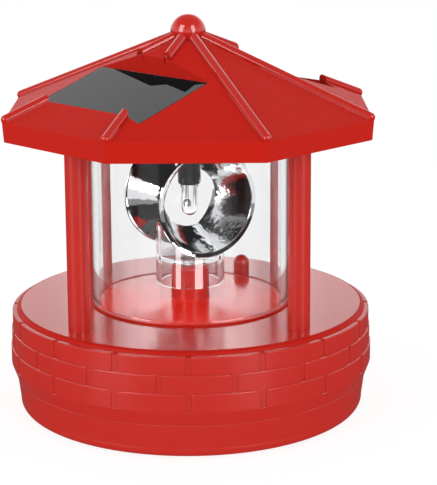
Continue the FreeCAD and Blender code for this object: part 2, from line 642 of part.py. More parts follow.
def gear_face(teeth, phase, bore):
    """A spur gear's outline; one tooth is centred on the phase angle, in degrees."""
    pitch = D["gear_module"] * teeth / 2
    base = pitch * math.cos(PRESSURE_ANGLE)
    tip, root = pitch + ADDENDUM * D["gear_module"], pitch - DEDENDUM * D["gear_module"]

    def half_angle(radius):
        lean = math.acos(min(1.0, base / radius))
        return math.pi / (2 * teeth) - BACKLASH / (4 * pitch) + involute(PRESSURE_ANGLE) - involute(lean)

    def at(radius, angle):
        return V(radius * math.cos(angle), radius * math.sin(angle), 0)
    foot = max(base, root)
    middle = (foot + tip) / 2
    edges = []
    step = 2 * math.pi / teeth
    for tooth in range(teeth):
        centre = math.radians(phase) + tooth * step
        right = [at(radius, centre - half_angle(radius)) for radius in (foot, middle, tip)]
        left = [at(radius, centre + half_angle(radius)) for radius in (tip, middle, foot)]
        low = [at(root, centre - half_angle(foot)), at(root, centre + half_angle(foot))]
        following = at(root, centre + step - half_angle(foot))
        if root < base:
            edges.append(Part.LineSegment(low[0], right[0]).toShape())
        edges.append(Part.Arc(*right).toShape())
        edges.append(Part.Arc(right[2], at(tip, centre), left[0]).toShape())
        edges.append(Part.Arc(*left).toShape())
        start = left[2]
        if root < base:
            edges.append(Part.LineSegment(left[2], low[1]).toShape())
            start = low[1]
        edges.append(Part.Arc(start, at(root, centre + step / 2), following).toShape())
    hole = Part.Wire(Part.Circle(V(0, 0, 0), UP, bore).toShape())
    return Part.Face(Part.Wire(edges)).cut(Part.Face(hole))


def gear(teeth, phase, bore, low, thick):
    return gear_face(teeth, phase, bore).translate(V(0, 0, low)).extrude(V(0, 0, thick))


CENTRES = D["gear_module"] * (D["wheel_teeth"] + D["pinion_teeth"]) / 2
STAGE_TURN = {"second": 180, "first": 300, "motor": 0}
SECOND_AXIS = polar(CENTRES, STAGE_TURN["second"])
FIRST_AXIS = SECOND_AXIS + polar(CENTRES, STAGE_TURN["first"])
MOTOR_AXIS = FIRST_AXIS + polar(CENTRES, STAGE_TURN["motor"])


def make_compound_gear(label, axis, wheel_phase, pinion_phase, low):
    bore = D["pin_radius"] + D["running_gap"]
    wheel = gear(int(D["wheel_teeth"]), wheel_phase, bore, low, D["wheel_thick"])
    pinion = gear(int(D["pinion_teeth"]), pinion_phase, bore, low + D["wheel_thick"], D["stage_pitch"])
    solid(label, wheel.fuse(pinion), turned(0, axis.x, axis.y))


def make_gear_train():
    gap = 180 / D["wheel_teeth"]
    stage = [D["first_stage"] + D["stage_pitch"] * index for index in range(3)]
    turn = STAGE_TURN
    output = gear(int(D["wheel_teeth"]), turn["second"] + gap, D["shaft_radius"], stage[2], D["wheel_thick"])
    solid("output_gear", output)
    make_compound_gear("second_gear", SECOND_AXIS, turn["first"] + gap, turn["second"] + 180, stage[1])
    make_compound_gear("first_gear", FIRST_AXIS, turn["motor"] + gap, turn["first"] + 180, stage[0])
    pinion = gear(int(D["pinion_teeth"]), turn["motor"] + 180, D["pin_radius"], stage[0] - 0.4,
                  D["wheel_thick"] + 0.4)
    solid("motor_pinion", pinion, turned(0, MOTOR_AXIS.x, MOTOR_AXIS.y))
    solid("motor_shaft", round_bar(D["pin_radius"], D["motor_low"] + 1.0, stage[0] + D["wheel_thick"]),
          turned(0, MOTOR_AXIS.x, MOTOR_AXIS.y))
    pins = [round_bar(D["pin_radius"], D["tray_low"], D["tray_top"] + D["tray_plate"], axis.x, axis.y)
            for axis in (FIRST_AXIS, SECOND_AXIS)]
    solid("gear_pins", Part.makeCompound(pins))
    make_gear_case(stage)


def make_gear_case(stage):
    low, floor, top = D["tray_low"], D["tray_low"] + D["tray_plate"], D["tray_top"]
    lid_top = top + D["tray_plate"]
    x_low, x_high, y_low, y_high = -29.5, 22.0, -27.5, 14.5
    wall = D["train_wall"]
    outer = Part.makeBox(x_high - x_low, y_high - y_low, top - low, V(x_low, y_low, low))
    room = Part.makeBox(x_high - x_low - 2 * wall, y_high - y_low - 2 * wall, top - floor,
                        V(x_low + wall, y_low + wall, floor))
    posts = [round_bar(D["post_radius"], low, top, x, y) for x, y in TRAIN_CORNERS]
    seat_radius, gap = D["pin_radius"] + 0.8, 0.2
    seats = [round_bar(seat_radius, floor, stage[0] - gap, FIRST_AXIS.x, FIRST_AXIS.y),
             round_bar(seat_radius, floor, stage[1] - gap, SECOND_AXIS.x, SECOND_AXIS.y)]
    tray = outer.cut(room).multiFuse(posts + seats)
    shaft_hole = round_bar(D["shaft_radius"] + D["running_gap"], low, lid_top)
    pins = [round_bar(D["pin_radius"], low, lid_top, axis.x, axis.y) for axis in (FIRST_AXIS, SECOND_AXIS)]
    screws = [round_bar(D["screw_radius"], low, lid_top, x, y) for x, y in TRAIN_CORNERS]
    motor_hole = round_bar(D["motor_boss"], low, floor, MOTOR_AXIS.x, MOTOR_AXIS.y)
    motor_screws = [round_bar(D["screw_radius"], low, floor, MOTOR_AXIS.x, MOTOR_AXIS.y + side * 8.0)
                    for side in (-1, 1)]
    cuts = Part.makeCompound([shaft_hole, motor_hole] + pins + screws + motor_screws)
    solid("gear_tray", tray.cut(cuts))
    lid = Part.makeBox(x_high - x_low, y_high - y_low, D["tray_plate"], V(x_low, y_low, top))
    high = D["wheel_thick"] + gap
    stops = [round_bar(seat_radius, stage[1] + high, top, FIRST_AXIS.x, FIRST_AXIS.y),
             round_bar(seat_radius, stage[2] + high, top, SECOND_AXIS.x, SECOND_AXIS.y)]
    solid("gear_lid", lid.multiFuse(stops).cut(Part.makeCompound([shaft_hole] + pins + screws)))
    screws_at("gear_case_screws", D["screw_radius"], low, 15.5, [V(x, y, 0) for x, y in TRAIN_CORNERS])


def make_motor():
    low, high = D["motor_low"], D["tray_low"]
    can = round_bar(D["motor_radius"], low, high)
    boss = round_bar(D["motor_boss"], high, high + D["motor_boss_height"])
    bore = round_bar(D["pin_radius"] + D["running_gap"], low + 0.8, high + D["motor_boss_height"])
    threads = [round_bar(D["screw_radius"], high - 3.0, high, 0, side * 8.0) for side in (-1, 1)]
    solid("motor_can", can.fuse(boss).cut(Part.makeCompound([bore] + threads)),
          turned(0, MOTOR_AXIS.x, MOTOR_AXIS.y))
    screws = []
    floor = high + D["tray_plate"]
    for side in (-1, 1):
        shank = round_bar(D["screw_radius"], high - 3.0, floor, 0, side * 8.0)
        head = round_bar(D["screw_radius"] + 0.8, floor, floor + 0.7, 0, side * 8.0)
        screws.append(shank.fuse(head))
    solid("motor_screws", Part.makeCompound(screws), turned(0, MOTOR_AXIS.x, MOTOR_AXIS.y))


# ---------------------------------------------------------------- power and switch
def make_battery():
    y, z = D["cell_y"], D["cell_z"]
    half = D["cell_length"] / 2
    start = -half
    can = Part.makeCylinder(D["cell_radius"], D["cell_length"], V(start, y, z), V(1, 0, 0))
    nub = Part.makeCylinder(D["nub_radius"], D["nub_length"], V(half, y, z), V(1, 0, 0))
    solid("battery_cell", can.fuse(nub))
    contact_x = D["bay_half"] - D["spring_room"]
    nub_end = half + D["nub_length"]
    plate = Part.makeBox(contact_x - nub_end, 10.0, 9.0, V(nub_end, y - 5.0, z - 4.5))
    solid("battery_contact", plate)
    spring_room = start + D["bay_half"]
    wire = 0.4
    helix = Part.makeHelix((spring_room - 2 * wire) / 3, spring_room - 2 * wire, 3.0)
    section = Part.Wire(Part.Circle(V(3.0, 0, 0), V(0, 1, 0), wire).toShape())
    coil = Part.Wire(helix.Edges).makePipeShell([section], True, True)
    coil.Placement = FreeCAD.Placement(V(-D["bay_half"] + wire, y, z), FreeCAD.Rotation(V(0, 1, 0), 90))
    solid("battery_spring", coil)


def make_board():
    body = new_body("control_board")
    board_high = "board_low + board_height"
    pad(body, "board_plate", "board_low", board_high, [rectangle("-5", "29.5", "16.5", "42")])
    holes = [circle("screw_radius", x, y) for x, y in BOARD_POSTS]
    pad(body, "board_holes", "board_low - 1", board_high + " + 1", holes, cut=True)
    top = D["board_low"] + D["board_height"]
    chip = Part.makeBox(6.0, 5.0, 1.6, V(5.0, 33.0, top))
    capacitor = round_bar(2.5, top, top + 7.0, 5.0, 26.0)
    inductor = round_bar(2.0, top, top + 4.0, 11.5, 22.0)
    solid("board_components", Part.makeCompound([chip, capacitor, inductor]))
    screws_at("board_screws", D["screw_radius"], D["board_low"], 7.0, [V(x, y, 0) for x, y in BOARD_POSTS])


def make_switch():
    board_high = "board_low + board_height"
    body = new_body("switch_body")
    half = "switch_size / 2"
    pad(body, "switch_block", board_high, board_high + " + switch_height",
        [rectangle("-" + half, half, "-" + half, half), circle("1.25")])
    place(body, *SWITCH_PLACE)
    stem_low = board_high + " + 2 * button_travel"
    flange_top = "deck_height - deck_wall - flange_drop"
    flange_low = flange_top + " - flange_thick"
    flange = "button_radius + button_flange"
    button = lathe("power_button", [
        ("0", stem_low), ("button_stem", stem_low), ("button_stem", flange_low), (flange, flange_low),
        (flange, flange_top), ("button_radius", flange_top), ("button_radius", "button_top - button_radius"),
        ("button_radius * sqrt(0.5)", "button_top - button_radius * (1 - sqrt(0.5))", "arc"),
        ("0", "button_top")])
    place(button, *SWITCH_PLACE)
    seal = cylinder_body("button_seal", "button_radius + 1.3", "deck_height - deck_wall - 1.4",
                         deck_low, "button_radius + running_gap * 2")
    place(seal, *SWITCH_PLACE)


# ---------------------------------------------------------------- leads
def routed(points, radius, tightest=100.0):
    """A lead along straight runs joined by tangent arcs, as large as the runs and the room allow."""
    edges = []
    start = points[0]
    for before, corner, after in zip(points, points[1:], points[2:]):
        come, leave = corner - before, after - corner
        turn = come.getAngle(leave)
        reach = min(0.45 * min(come.Length, leave.Length), tightest * math.tan(turn / 2))
        bend = reach / math.tan(turn / 2)
        come.normalize()
        leave.normalize()
        enter, exit_ = corner - come * reach, corner + leave * reach
        inward = (leave - come).normalize()
        middle = corner + inward * (bend / math.cos(turn / 2) - bend)
        edges.append(Part.LineSegment(start, enter).toShape())
        edges.append(Part.Arc(enter, middle, exit_).toShape())
        print(f"  lead bend radius {bend:.1f}")
        start = exit_
    edges.append(Part.LineSegment(start, points[-1]).toShape())
    path = Part.Wire(edges)
    section = Part.Wire(Part.Circle(points[0], points[1] - points[0], radius).toShape())
    lead = path.makePipeShell([section], True, False)
    expected = math.pi * radius ** 2 * path.Length
    if abs(lead.Volume - expected) > 0.02 * expected:
        raise RuntimeError(f"lead volume {lead.Volume:.2f}, expected {expected:.2f}")
    return lead


def make_leads():
    """A cable up one hollow pillar to the roof, and thin leads to the lamp, panels, motor and battery."""
    board_top = D["board_low"] + D["board_height"]
    pillar = polar(D["pillar_pitch"], PILLARS["back_right"])
    ceiling_top = D["ceiling_low"] + D["ceiling_thick"]
    level = ceiling_top + 1.5
    cable = [V(26.5, 30.0, board_top), V(26.5, 30.0, board_top + 3.5), V(pillar.x, pillar.y, board_top + 6.5),
             V(pillar.x, pillar.y, level), V(22.0, 22.0, level)]
    solid("roof_cable", routed(cable, 0.9, tightest=2.6))
    inward = V(-1, -1, 0).normalize()
    solid("roof_splice", Part.makeCylinder(1.5, 7.0, cable[-1], inward))
    splice_end = cable[-1] + inward * 7.0
    holder_top = ceiling_top + D["holder_stub"]
    lamp_end = splice_end + V(0, 0, 0.6)
    lamp_lead = [V(0, 0, D["holder_low"] + 14.0), V(0, 0, holder_top + 4.0), V(8.0, 8.0, holder_top + 4.0),
                 lamp_end + inward * 3.0, lamp_end]
    side = V(0.6, -0.6, -0.4)
    rear_end = splice_end + side
    rear_top = panel_wire_top("rear")
    rear_lead = [rear_top, V(rear_top.x, rear_top.y, rear_end.z), rear_end + inward * 2.5, rear_end]
    front_end = splice_end + V(-side.x, -side.y, side.z)
    front_top = panel_wire_top("front")
    front_lead = [front_top, V(front_top.x, front_top.y, level + 1.0), V(-10.5, -5.0, level),
                  V(-8.5, 3.5, level), V(2.0, 11.5, level), front_end + inward * 4.0, front_end]
    solid("roof_leads", Part.makeCompound([routed(lamp_lead, 0.6), routed(rear_lead, 0.5),
                                           routed(front_lead, 0.5)]))
    motor_side = V(MOTOR_AXIS.x + D["motor_radius"], MOTOR_AXIS.y, D["motor_low"] + 5.0)
    motor_lead = [motor_side, motor_side + V(5.6, 0, 0), V(25.0, 2.0, 9.5), V(25.0, 9.5, 16.0),
                  V(25.0, 12.5, 24.0), V(25.0, 19.5, 26.5), V(25.0, 19.5, board_top)]
    bay_corner = V(-D["bay_half"] + 0.8, D["cell_y"] + 5.0, D["bay_top"] - 2.0)
    battery_lead = [bay_corner, V(bay_corner.x, bay_corner.y, 20.5), V(-12.0, 28.5, 24.5),
                    V(-2.0, 30.5, 26.5), V(-2.0, 30.5, board_top)]
    solid("board_leads", Part.makeCompound([routed(motor_lead, 0.5), routed(battery_lead, 0.5)]))


def panel_wire_place(name):
    """Where a panel's lead passes through the floor of its tray, in plan."""
    return polar(D["panel_wire_reach"], PANEL_ANGLES[name] - D["panel_wire_turn"])


def panel_wire_top(name):
    """Where a panel's lead meets the underside of its board."""
    place_ = panel_wire_place(name)
    return V(place_.x, place_.y, tray_top_at(D["panel_wire_reach"] + 0.5))


def tray_top_at(reach):
    """Height of the underside of a panel's board, at a distance from the centre."""
    return D["panel_edge_height"] - D["panel_slope"] * (reach - D["panel_near"]) - PANEL_STACK


def build():
    make_base()
    make_lantern()
    make_roof()
    make_panels()
    make_lamp()
    make_rotor()
    make_gear_train()
    make_motor()
    make_battery()
    make_board()
    make_switch()
    make_leads()
    doc.recompute()


def check():
    """Every object is sound, and every piece has a valid solid."""
    for item in doc.Objects:
        if {"Invalid", "Error"} & set(item.State):
            raise RuntimeError(f"{item.Name}: {item.State}")
    for node in nodes:
        if node.Shape.isNull() or not node.Shape.isValid() or not node.Shape.Solids:
            raise RuntimeError(f"{node.Label} has no valid solid")


def write():
    os.makedirs("parts", exist_ok=True)
    for node in nodes:
        node.Shape.exportStep(f"parts/{node.Label}.step")
        print(f"{node.Label}: {len(node.Shape.Solids)} solid(s), {node.Shape.Volume:.1f} mm3")


build()
check()
write()
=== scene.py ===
"""Garden lighthouse ornament: the finish of every piece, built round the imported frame."""
import math

import bmesh
import bpy
from bpy.props import (BoolProperty, FloatProperty, FloatVectorProperty, IntProperty,
                       PointerProperty)
from bpy.types import Operator, Panel, PropertyGroup
from mathutils import Matrix, Vector


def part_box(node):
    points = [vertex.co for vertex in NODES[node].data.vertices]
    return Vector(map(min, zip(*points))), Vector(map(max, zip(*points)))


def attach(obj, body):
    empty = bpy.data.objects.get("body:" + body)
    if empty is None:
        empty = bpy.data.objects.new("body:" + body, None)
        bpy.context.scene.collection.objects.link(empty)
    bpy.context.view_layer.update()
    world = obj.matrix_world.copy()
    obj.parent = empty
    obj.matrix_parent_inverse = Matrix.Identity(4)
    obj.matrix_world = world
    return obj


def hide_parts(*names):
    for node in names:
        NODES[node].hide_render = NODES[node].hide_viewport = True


bl_info = {
    "name": "Garden lighthouse ornament",
    "version": (1, 0, 0),
    "blender": (4, 5, 0),
    "location": "View3D > Sidebar > Lighthouse",
    "description": "Builds a solar garden lighthouse ornament round its packed frame",
    "category": "Add Mesh",
}

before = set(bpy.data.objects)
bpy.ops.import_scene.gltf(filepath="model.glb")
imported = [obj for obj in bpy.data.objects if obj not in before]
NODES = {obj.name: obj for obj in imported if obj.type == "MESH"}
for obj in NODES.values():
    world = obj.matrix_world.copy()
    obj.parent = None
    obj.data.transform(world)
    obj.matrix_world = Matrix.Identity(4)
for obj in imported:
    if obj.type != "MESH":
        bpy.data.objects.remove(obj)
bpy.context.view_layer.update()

MM = 0.001
MERGE = 1e-7
SLACK = 0.05 * MM
HOUSING = "housing"
ROTOR = "lantern_rotor"
FINISH_MARK = "finish_"

# How many: sides of turned shapes, steps of curves, and pieces that repeat
AROUND = 256
BOSS_AROUND = 128
DISH_AROUND = 192
POST_AROUND = 48
CUTTER_AROUND = 96
FILLET_STEPS = 4
BRICK_COLUMNS = 10
RIB_STEPS = 8
BRICK_EDGE_STEPS = 3
EAVE_EDGE_STEPS = 3
COVER_EDGE_STEPS = 2
DISH_SAMPLES = 24
RIDGES = 8
TIE_COUNT = 4

# Directions in degrees about the axis, and limits past which an edge stays sharp
FIRST_RIDGE = 22.5
PANELS = {"front": -135.0, "rear": 45.0}
SHARP = {"turned": 34.0, "brick": 40.0, "post": 40.0, "roof": 14.0, "rib": 40.0, "cover": 50.0,
         "bevel": 30.0}

# Roundings of small edges
ROUND = {name: value * MM for name, value in {
    "groove": 0.05, "collar": 0.12, "collar_foot": 0.1, "joint": 0.1, "seam": 0.25, "lap": 0.2,
    "deck_under": 1.0, "bush": 0.15, "boss_top": 0.6, "boss_foot": 0.3, "boss_hollow": 0.3,
    "tie_bore": 0.15, "tie": 0.3, "dish_neck": 0.15}.items()}


# ---------------------------------------------------------------- settings
def length(name, description, millimetres):
    return FloatProperty(name=name, description=description, default=millimetres * MM,
                         min=0.0, precision=5, subtype="DISTANCE", unit="LENGTH")


def angle(name, description, degrees):
    return FloatProperty(name=name, description=description, default=math.radians(degrees),
                         subtype="ANGLE", unit="ROTATION")


def amount(name, description, value):
    return FloatProperty(name=name, description=description, default=value)


def share(name, description, value):
    return FloatProperty(name=name, description=description, default=value, min=0.0, max=1.0,
                         subtype="FACTOR")


def colour(name, description, value):
    return FloatVectorProperty(name=name, description=description, default=value, min=0.0,
                               max=1.0, size=3, subtype="COLOR")


class BaseSettings(PropertyGroup):
    rim_radius: length("Rim radius", "Radius of the deck's upright rim", 57.8)
    rim_round: length("Rim round", "Rounding of the deck's edge", 1.4)
    deck_height: length("Deck height", "Height of the deck above the table", 35.0)
    deck_wall: length("Deck wall", "Thickness of the deck", 2.2)
    band_radius: length("Band radius", "Outer radius of the lowest course of bricks", 60.0)
    band_top: length("Band top", "Height of the top of the brick band", 33.6)
    band_low: length("Band foot", "Height at which the lowest course ends", 16.2)
    course_height: length("Course height", "Height of one course of bricks", 5.8)
    course_step: length("Course step", "How much further out each lower course stands", 0.36)
    courses: IntProperty(name="Courses", description="Courses of bricks", default=3, min=1)
    bricks: IntProperty(name="Bricks", description="Bricks in each course", default=16, min=3)
    bond: angle("Bond", "Turn of the middle course against the others", 13.75)
    joint_width: length("Joint width", "Width of the upright joints", 1.9)
    joint_depth: length("Joint depth", "Depth of the upright joints", 0.36)
    joint_sink: length("Joint sink", "Depth of the joints' ground under a course's top", 0.12)
    brick_root: length("Brick root", "How far each brick reaches into the wall", 1.6)
    brick_lap: length("Brick lap", "How far each course reaches under the one above", 0.2)
    brick_round: length("Brick round", "Rounding of each brick's edges", 0.28)
    seam_radius: length("Seam radius", "Radius where the moulding meets the lower cup", 58.2)
    seam_height: length("Seam height", "Height where the moulding meets the lower cup", 11.3)
    lap_radius: length("Lap radius", "Inner radius of the moulding's wall", 56.6)


class DeckSettings(PropertyGroup):
    boss_radius: length("Boss radius", "Radius of the boss in the middle of the deck", 6.3)
    boss_draft: length("Boss draft", "How much the boss narrows to its top", 0.15)
    boss_top: length("Boss top", "Height of the top of the boss", 47.5)
    boss_lap: length("Boss lap", "How far the deck reaches under the boss's wall", 0.6)
    boss_flare: length("Boss flare", "Size of the flare at the boss's foot", 0.25)
    boss_hollow: length("Boss hollow", "Radius of the hollow under the boss", 4.2)
    bush_radius: length("Bush radius", "Radius of the bush in the boss", 2.6)
    bush_length: length("Bush length", "Length of the bush in the boss", 6.0)
    glass_wall: length("Cylinder wall", "Thickness of the clear cylinder's wall", 2.0)
    groove_room: length("Groove room", "Play of the clear cylinder in its groove", 0.1)
    groove_depth: length("Groove depth", "Depth of the cylinder's groove that shows", 0.15)
    collar_width: length("Collar width", "Width of the ring round the cylinder", 1.0)
    collar_height: length("Collar height", "Height of the ring round the cylinder", 0.8)
    button_radius: length("Button radius", "Radius of the power button", 2.9)
    button_room: length("Button room", "Play of the power button in its hole", 0.08)
    tie_pitch: length("Tie pitch", "Distance of the tall screw posts from the axis", 49.0)
    tie_radius: length("Tie radius", "Radius of the tall screw posts", 3.2)
    tie_bore: length("Tie bore", "Radius of the screws in the posts", 1.3)
    tie_lap: length("Tie lap", "How far the tall screw posts reach into the deck", 0.2)
    post_low: length("Post foot", "Height of the foot of the tall screw posts", 2.5)


class RoofSettings(PropertyGroup):
    fascia_low: length("Fascia foot", "Height of the roof's lower edge", 93.1)
    fascia_top: length("Fascia top", "Height of the eave", 99.5)
    eave_low_radius: length("Fascia radius", "Corner radius at the roof's lower edge", 62.6)
    eave_radius: length("Eave radius", "Corner radius at the eave", 63.1)
    apex_height: length("Apex height", "Height at which the ridges meet", 124.8)
    apex_flat: length("Apex flat", "Corner radius of the flat under the ball", 0.5)
    wall: length("Roof wall", "Thickness of the roof", 2.2)
    eave_round: length("Eave round", "Rounding of the eave and the fascia's corners", 0.35)
    rib_width: length("Rib width", "Width of each rib", 2.9)
    rib_height: length("Rib height", "Height of each rib above its ridge", 1.9)
    rib_sink: length("Rib sink", "How far each rib reaches into the roof", 2.0)
    rib_short: length("Rib short", "How far each rib's end centre stays inside the eave", 1.4)
    rib_start: length("Rib start", "Distance from the axis at which the ribs start", 4.0)
    wall_at_eave: amount("Wall at the eave", "Upright thickness at the eave, in walls", 0.6)
    wall_at_apex: amount("Wall at the apex", "Upright thickness at the apex, in walls", 1.1)


class PanelSettings(PropertyGroup):
    near: length("Near edge", "Distance of the panel's upper edge from the axis", 15.4)
    far: length("Far edge", "Distance of the panel's lower edge from the axis", 44.8)
    width: length("Width", "Length of the panel's seat along the eave", 49.6)
    edge_height: length("Upper height", "Height of the panel's face at its upper edge", 112.5)
    slope: amount("Slope", "Fall of the panel's face per unit of reach", 0.3076)
    stack: length("Stack", "Thickness of board, cells and cover together", 2.0)
    cover: length("Cover", "Thickness of the clear cover", 0.7)
    room: length("Room", "Play of the panel in its seat", 0.2)
    floor: length("Seat floor", "Thickness of the seat's floor", 1.6)
    side: length("Seat wall", "Thickness of the seat's walls", 1.6)
    cover_round: length("Cover round", "Rounding of the cover's edges", 0.12)
    pocket_rise: length("Pocket rise", "How far the cutter of a seat rises over the panel", 12.0)
    tray_rise: length("Tray rise", "How far a seat's walls rise over the panel inside", 9.0)


class OpticSettings(PropertyGroup):
    height: length("Optic height", "Height of the reflector's axis", 70.0)
    reach: length("Reach", "Distance of each rim from the middle", 12.5)
    waist: length("Waist radius", "Inner radius at the middle", 9.8)
    mouth: length("Mouth radius", "Inner radius at the rim", 16.4)
    rim: length("Rim radius", "Outer radius of the rim's lip", 17.9)
    lip: length("Lip", "Thickness of the rim's lip", 1.0)
    wall: length("Wall", "Thickness of the reflector", 1.2)
    lip_round: length("Lip round", "Rounding of the lip", 0.3)
    opening: length("Opening", "Radius of the opening for the lamp", 4.7)
    opening_rise: length("Opening rise", "How far the opening's cutter rises over the axis", 20.0)
    heading: angle("Heading", "Direction that the front reflector faces at rest", -59.5)


class FinishSettings(PropertyGroup):
    red: colour("Red", "Colour of the red plastic", (0.53, 0.011, 0.004))
    deck_roughness: share("Deck roughness", "Roughness of the polished deck", 0.18)
    red_roughness: share("Red roughness", "Roughness of the other red plastic", 0.3)
    clear: colour("Clear", "Tint of the clear plastic", (0.94, 0.94, 0.945))
    chrome: colour("Chrome", "Colour of the plated reflector", (0.86, 0.87, 0.88))


class StageSettings(PropertyGroup):
    distance: length("Camera distance", "Distance of the camera from its target", 575.5)
    target: length("Target height", "Height of the point that the camera is set by", 70.0)
    azimuth: angle("Azimuth", "Camera's turn round the ornament", 0.83)
    elevation: angle("Elevation", "Camera's height as an angle", 12.885)
    roll: angle("Roll", "Camera's turn about its own axis", -0.526)
    lens: amount("Lens", "Focal length, in millimetres", 86.29)
    sensor: amount("Sensor", "Height of the sensor, in millimetres", 24.0)
    shift_x: amount("Shift X", "Camera's sideways shift", 0.0598)
    shift_y: amount("Shift Y", "Camera's upright shift", -0.0951)
    floor_radius: length("Floor radius", "Radius of the pale floor", 3000.0)
    floor_thick: length("Floor thickness", "Thickness of the pale floor", 20.0)
    sweep: amount("Sweep", "Brightness of the world's sweep", 1.45)
    fill: amount("Fill", "Radiance of the side lights on matt surfaces", 1.6)
    shine: amount("Shine", "Radiance of the side lights in reflections", 8.5)
    overhead: amount("Overhead", "Radiance of the overhead light", 1.3)
    low_shine: amount("Low shine", "Radiance of the low lights that upright walls reflect", 1.7)
    rear: amount("Rear", "Radiance of the light behind, which the deck reflects", 1.0)
    rear_width: length("Rear width", "Width of the light behind the ornament", 240.0)
    flag_room: length("Flag room", "Gap between the cylinder's outside and the cards in it", 2.3)
    flag_foot: length("Flag foot", "Height of the foot of the dark cards in the glass", 50.0)
    flag_front: length("Front flag foot", "Height of the foot of the front card in the glass", 36.0)
    flag_grey: length("Grey flag", "Height at which the lower card turns grey", 61.5)
    flag_low: length("Lower flag", "Height up to which the lower card reaches", 66.0)
    flag_high: length("Upper flag", "Height at which the upper card starts", 82.0)
    flag_half: angle("Pillar flag", "Half width of the cards in line with the pillars", 13.0)
    grey: amount("Grey", "Brightness of the grey card", 0.3)
    strip: amount("Strip", "Brightness of the strips before the sleeve", 10.0)
    strip_room: length("Strip room", "Gap between the dark cards and the sleeve's strips", 1.0)
    strip_low: length("Strip foot", "Height of the foot of the sleeve's strips", 36.2)
    strip_high: length("Strip top", "Height of the top of the sleeve's strips", 52.0)
    show_floor: BoolProperty(name="Floor", description="Whether the floor is made", default=True)


SETTINGS = {"lh_base": BaseSettings, "lh_deck": DeckSettings, "lh_roof": RoofSettings,
            "lh_panel": PanelSettings, "lh_optic": OpticSettings, "lh_finish": FinishSettings,
            "lh_stage": StageSettings}


def settings(name):
    return getattr(bpy.context.scene, "lh_" + name)


# ---------------------------------------------------------------- shader maths
class Signal:
    """A shader socket that takes part in arithmetic; each operation adds a Math node."""

    def __init__(self, tree, socket):
        self.tree = tree
        self.socket = socket

    def combine(self, operation, first, second):
        node = self.tree.nodes.new("ShaderNodeMath")
        node.operation = operation
        for socket, value in zip(node.inputs, (first, second)):
            connect(self.tree, socket, value)
        return Signal(self.tree, node.outputs[0])

    def __add__(self, other):
        return self.combine("ADD", self, other)

    __radd__ = __add__

    def __sub__(self, other):
        return self.combine("SUBTRACT", self, other)

    def __rsub__(self, other):
        return self.combine("SUBTRACT", other, self)

    def __mul__(self, other):
        return self.combine("MULTIPLY", self, other)

    __rmul__ = __mul__

    def __gt__(self, other):
        return self.combine("GREATER_THAN", self, other)


def connect(tree, socket, value):
    """Link a signal to a socket, or set the socket's own value."""
    if isinstance(value, Signal):
        tree.links.new(value.socket, socket)
    elif isinstance(value, (tuple, list)) and socket.type == "RGBA" and len(value) == 3:
        socket.default_value = (*value, 1.0)
    else:
        socket.default_value = value


class Finish:
    """One procedural material."""

    def __init__(self, name):
        self.material = bpy.data.materials.new(FINISH_MARK + name)
        self.material.use_nodes = True
        self.tree = self.material.node_tree
        self.tree.nodes.clear()
        self.place = self.node("ShaderNodeTexCoord", out="Object")

    def node(self, kind, options=None, sockets=None, out=0):
        """Add a node: its options first, then its sockets; gives one of its outputs."""
        node = self.tree.nodes.new(kind)
        for name, value in (options or {}).items():
            setattr(node, name, value)
        for name, value in (sockets or {}).items():
            connect(self.tree, node.inputs[name], value)
        return Signal(self.tree, node.outputs[out]) if node.outputs else None

    def noise(self, size, detail):
        """Smooth noise, from 0 to 1, with features of about a size in metres."""
        return self.node("ShaderNodeTexNoise", {"noise_dimensions": "3D"},
                         {"Vector": self.place, "Scale": 1.0 / size, "Detail": detail},
                         out="Fac")

    def blend(self, factor, first, second):
        """A colour between two colours."""
        return self.node("ShaderNodeMix", {"data_type": "RGBA"},
                         {"Factor": factor, 6: first, 7: second}, out=2)

    def bump(self, height, depth):
        """A normal tilted by a height signal that is scaled to a depth in metres."""
        return self.node("ShaderNodeBump", {}, {"Height": height, "Distance": depth}, out="Normal")

    def surface(self, **sockets):
        """The shader and the output; a socket's spaces are written as underscores."""
        named = {name.replace("_", " "): value for name, value in sockets.items()}
        shader = self.node("ShaderNodeBsdfPrincipled", {}, named)
        self.node("ShaderNodeOutputMaterial", {}, {"Surface": shader})
        return self.material


def set_stops(ramp, stops):
    while len(ramp.elements) < len(stops):
        ramp.elements.new(1.0)
    for element, (position, value) in zip(ramp.elements, stops):
        element.position = position
        element.color = (value, value, value, 1.0)


# ---------------------------------------------------------------- finishes
ACRYLIC = 1.49
SOFT_TEXTURE, FINE_TEXTURE = 0.00004, 0.00001
CHROME_RIPPLE = 0.0002
METAL_MARKS = 0.000008
LINES_PER_METRE, LINE_EDGE = 160.0, 0.985
TRACKS_PER_METRE, TRACK_EDGE, TRACK_RISE = 260.0, 0.09, 0.00003

CLEAR_FINISHES = {  # tint (None for the one in the settings), roughness, ripple, index
    "clear_cylinder": (None, 0.004, 0.00002, 1.25),
    "clear_sleeve": ((0.97, 0.96, 0.96), 0.01, 0.00005, 1.6),
    "lamp_epoxy": ((0.98, 0.98, 0.97), 0.01, 0.00001, ACRYLIC),
    "panel_cover": ((0.06, 0.06, 0.065), 0.02, 0.00001, ACRYLIC),
}
DULL_FINISHES = {  # tone, roughness, texture
    "panel_board": ((0.02, 0.022, 0.022), 0.5, SOFT_TEXTURE),
    "card": ((0.01, 0.01, 0.01), 0.9, SOFT_TEXTURE),
    "rubber": ((0.02, 0.02, 0.02), 0.75, SOFT_TEXTURE),
    "gasket_silicone": ((0.62, 0.2, 0.18), 0.35, FINE_TEXTURE),
    "black_plastic": ((0.012, 0.012, 0.013), 0.35, FINE_TEXTURE),
    "gear_plastic": ((0.75, 0.73, 0.68), 0.4, SOFT_TEXTURE),
    "battery_wrap": ((0.03, 0.25, 0.11), 0.25, FINE_TEXTURE),
    "lead_jacket": ((0.3, 0.02, 0.02), 0.5, SOFT_TEXTURE),
}
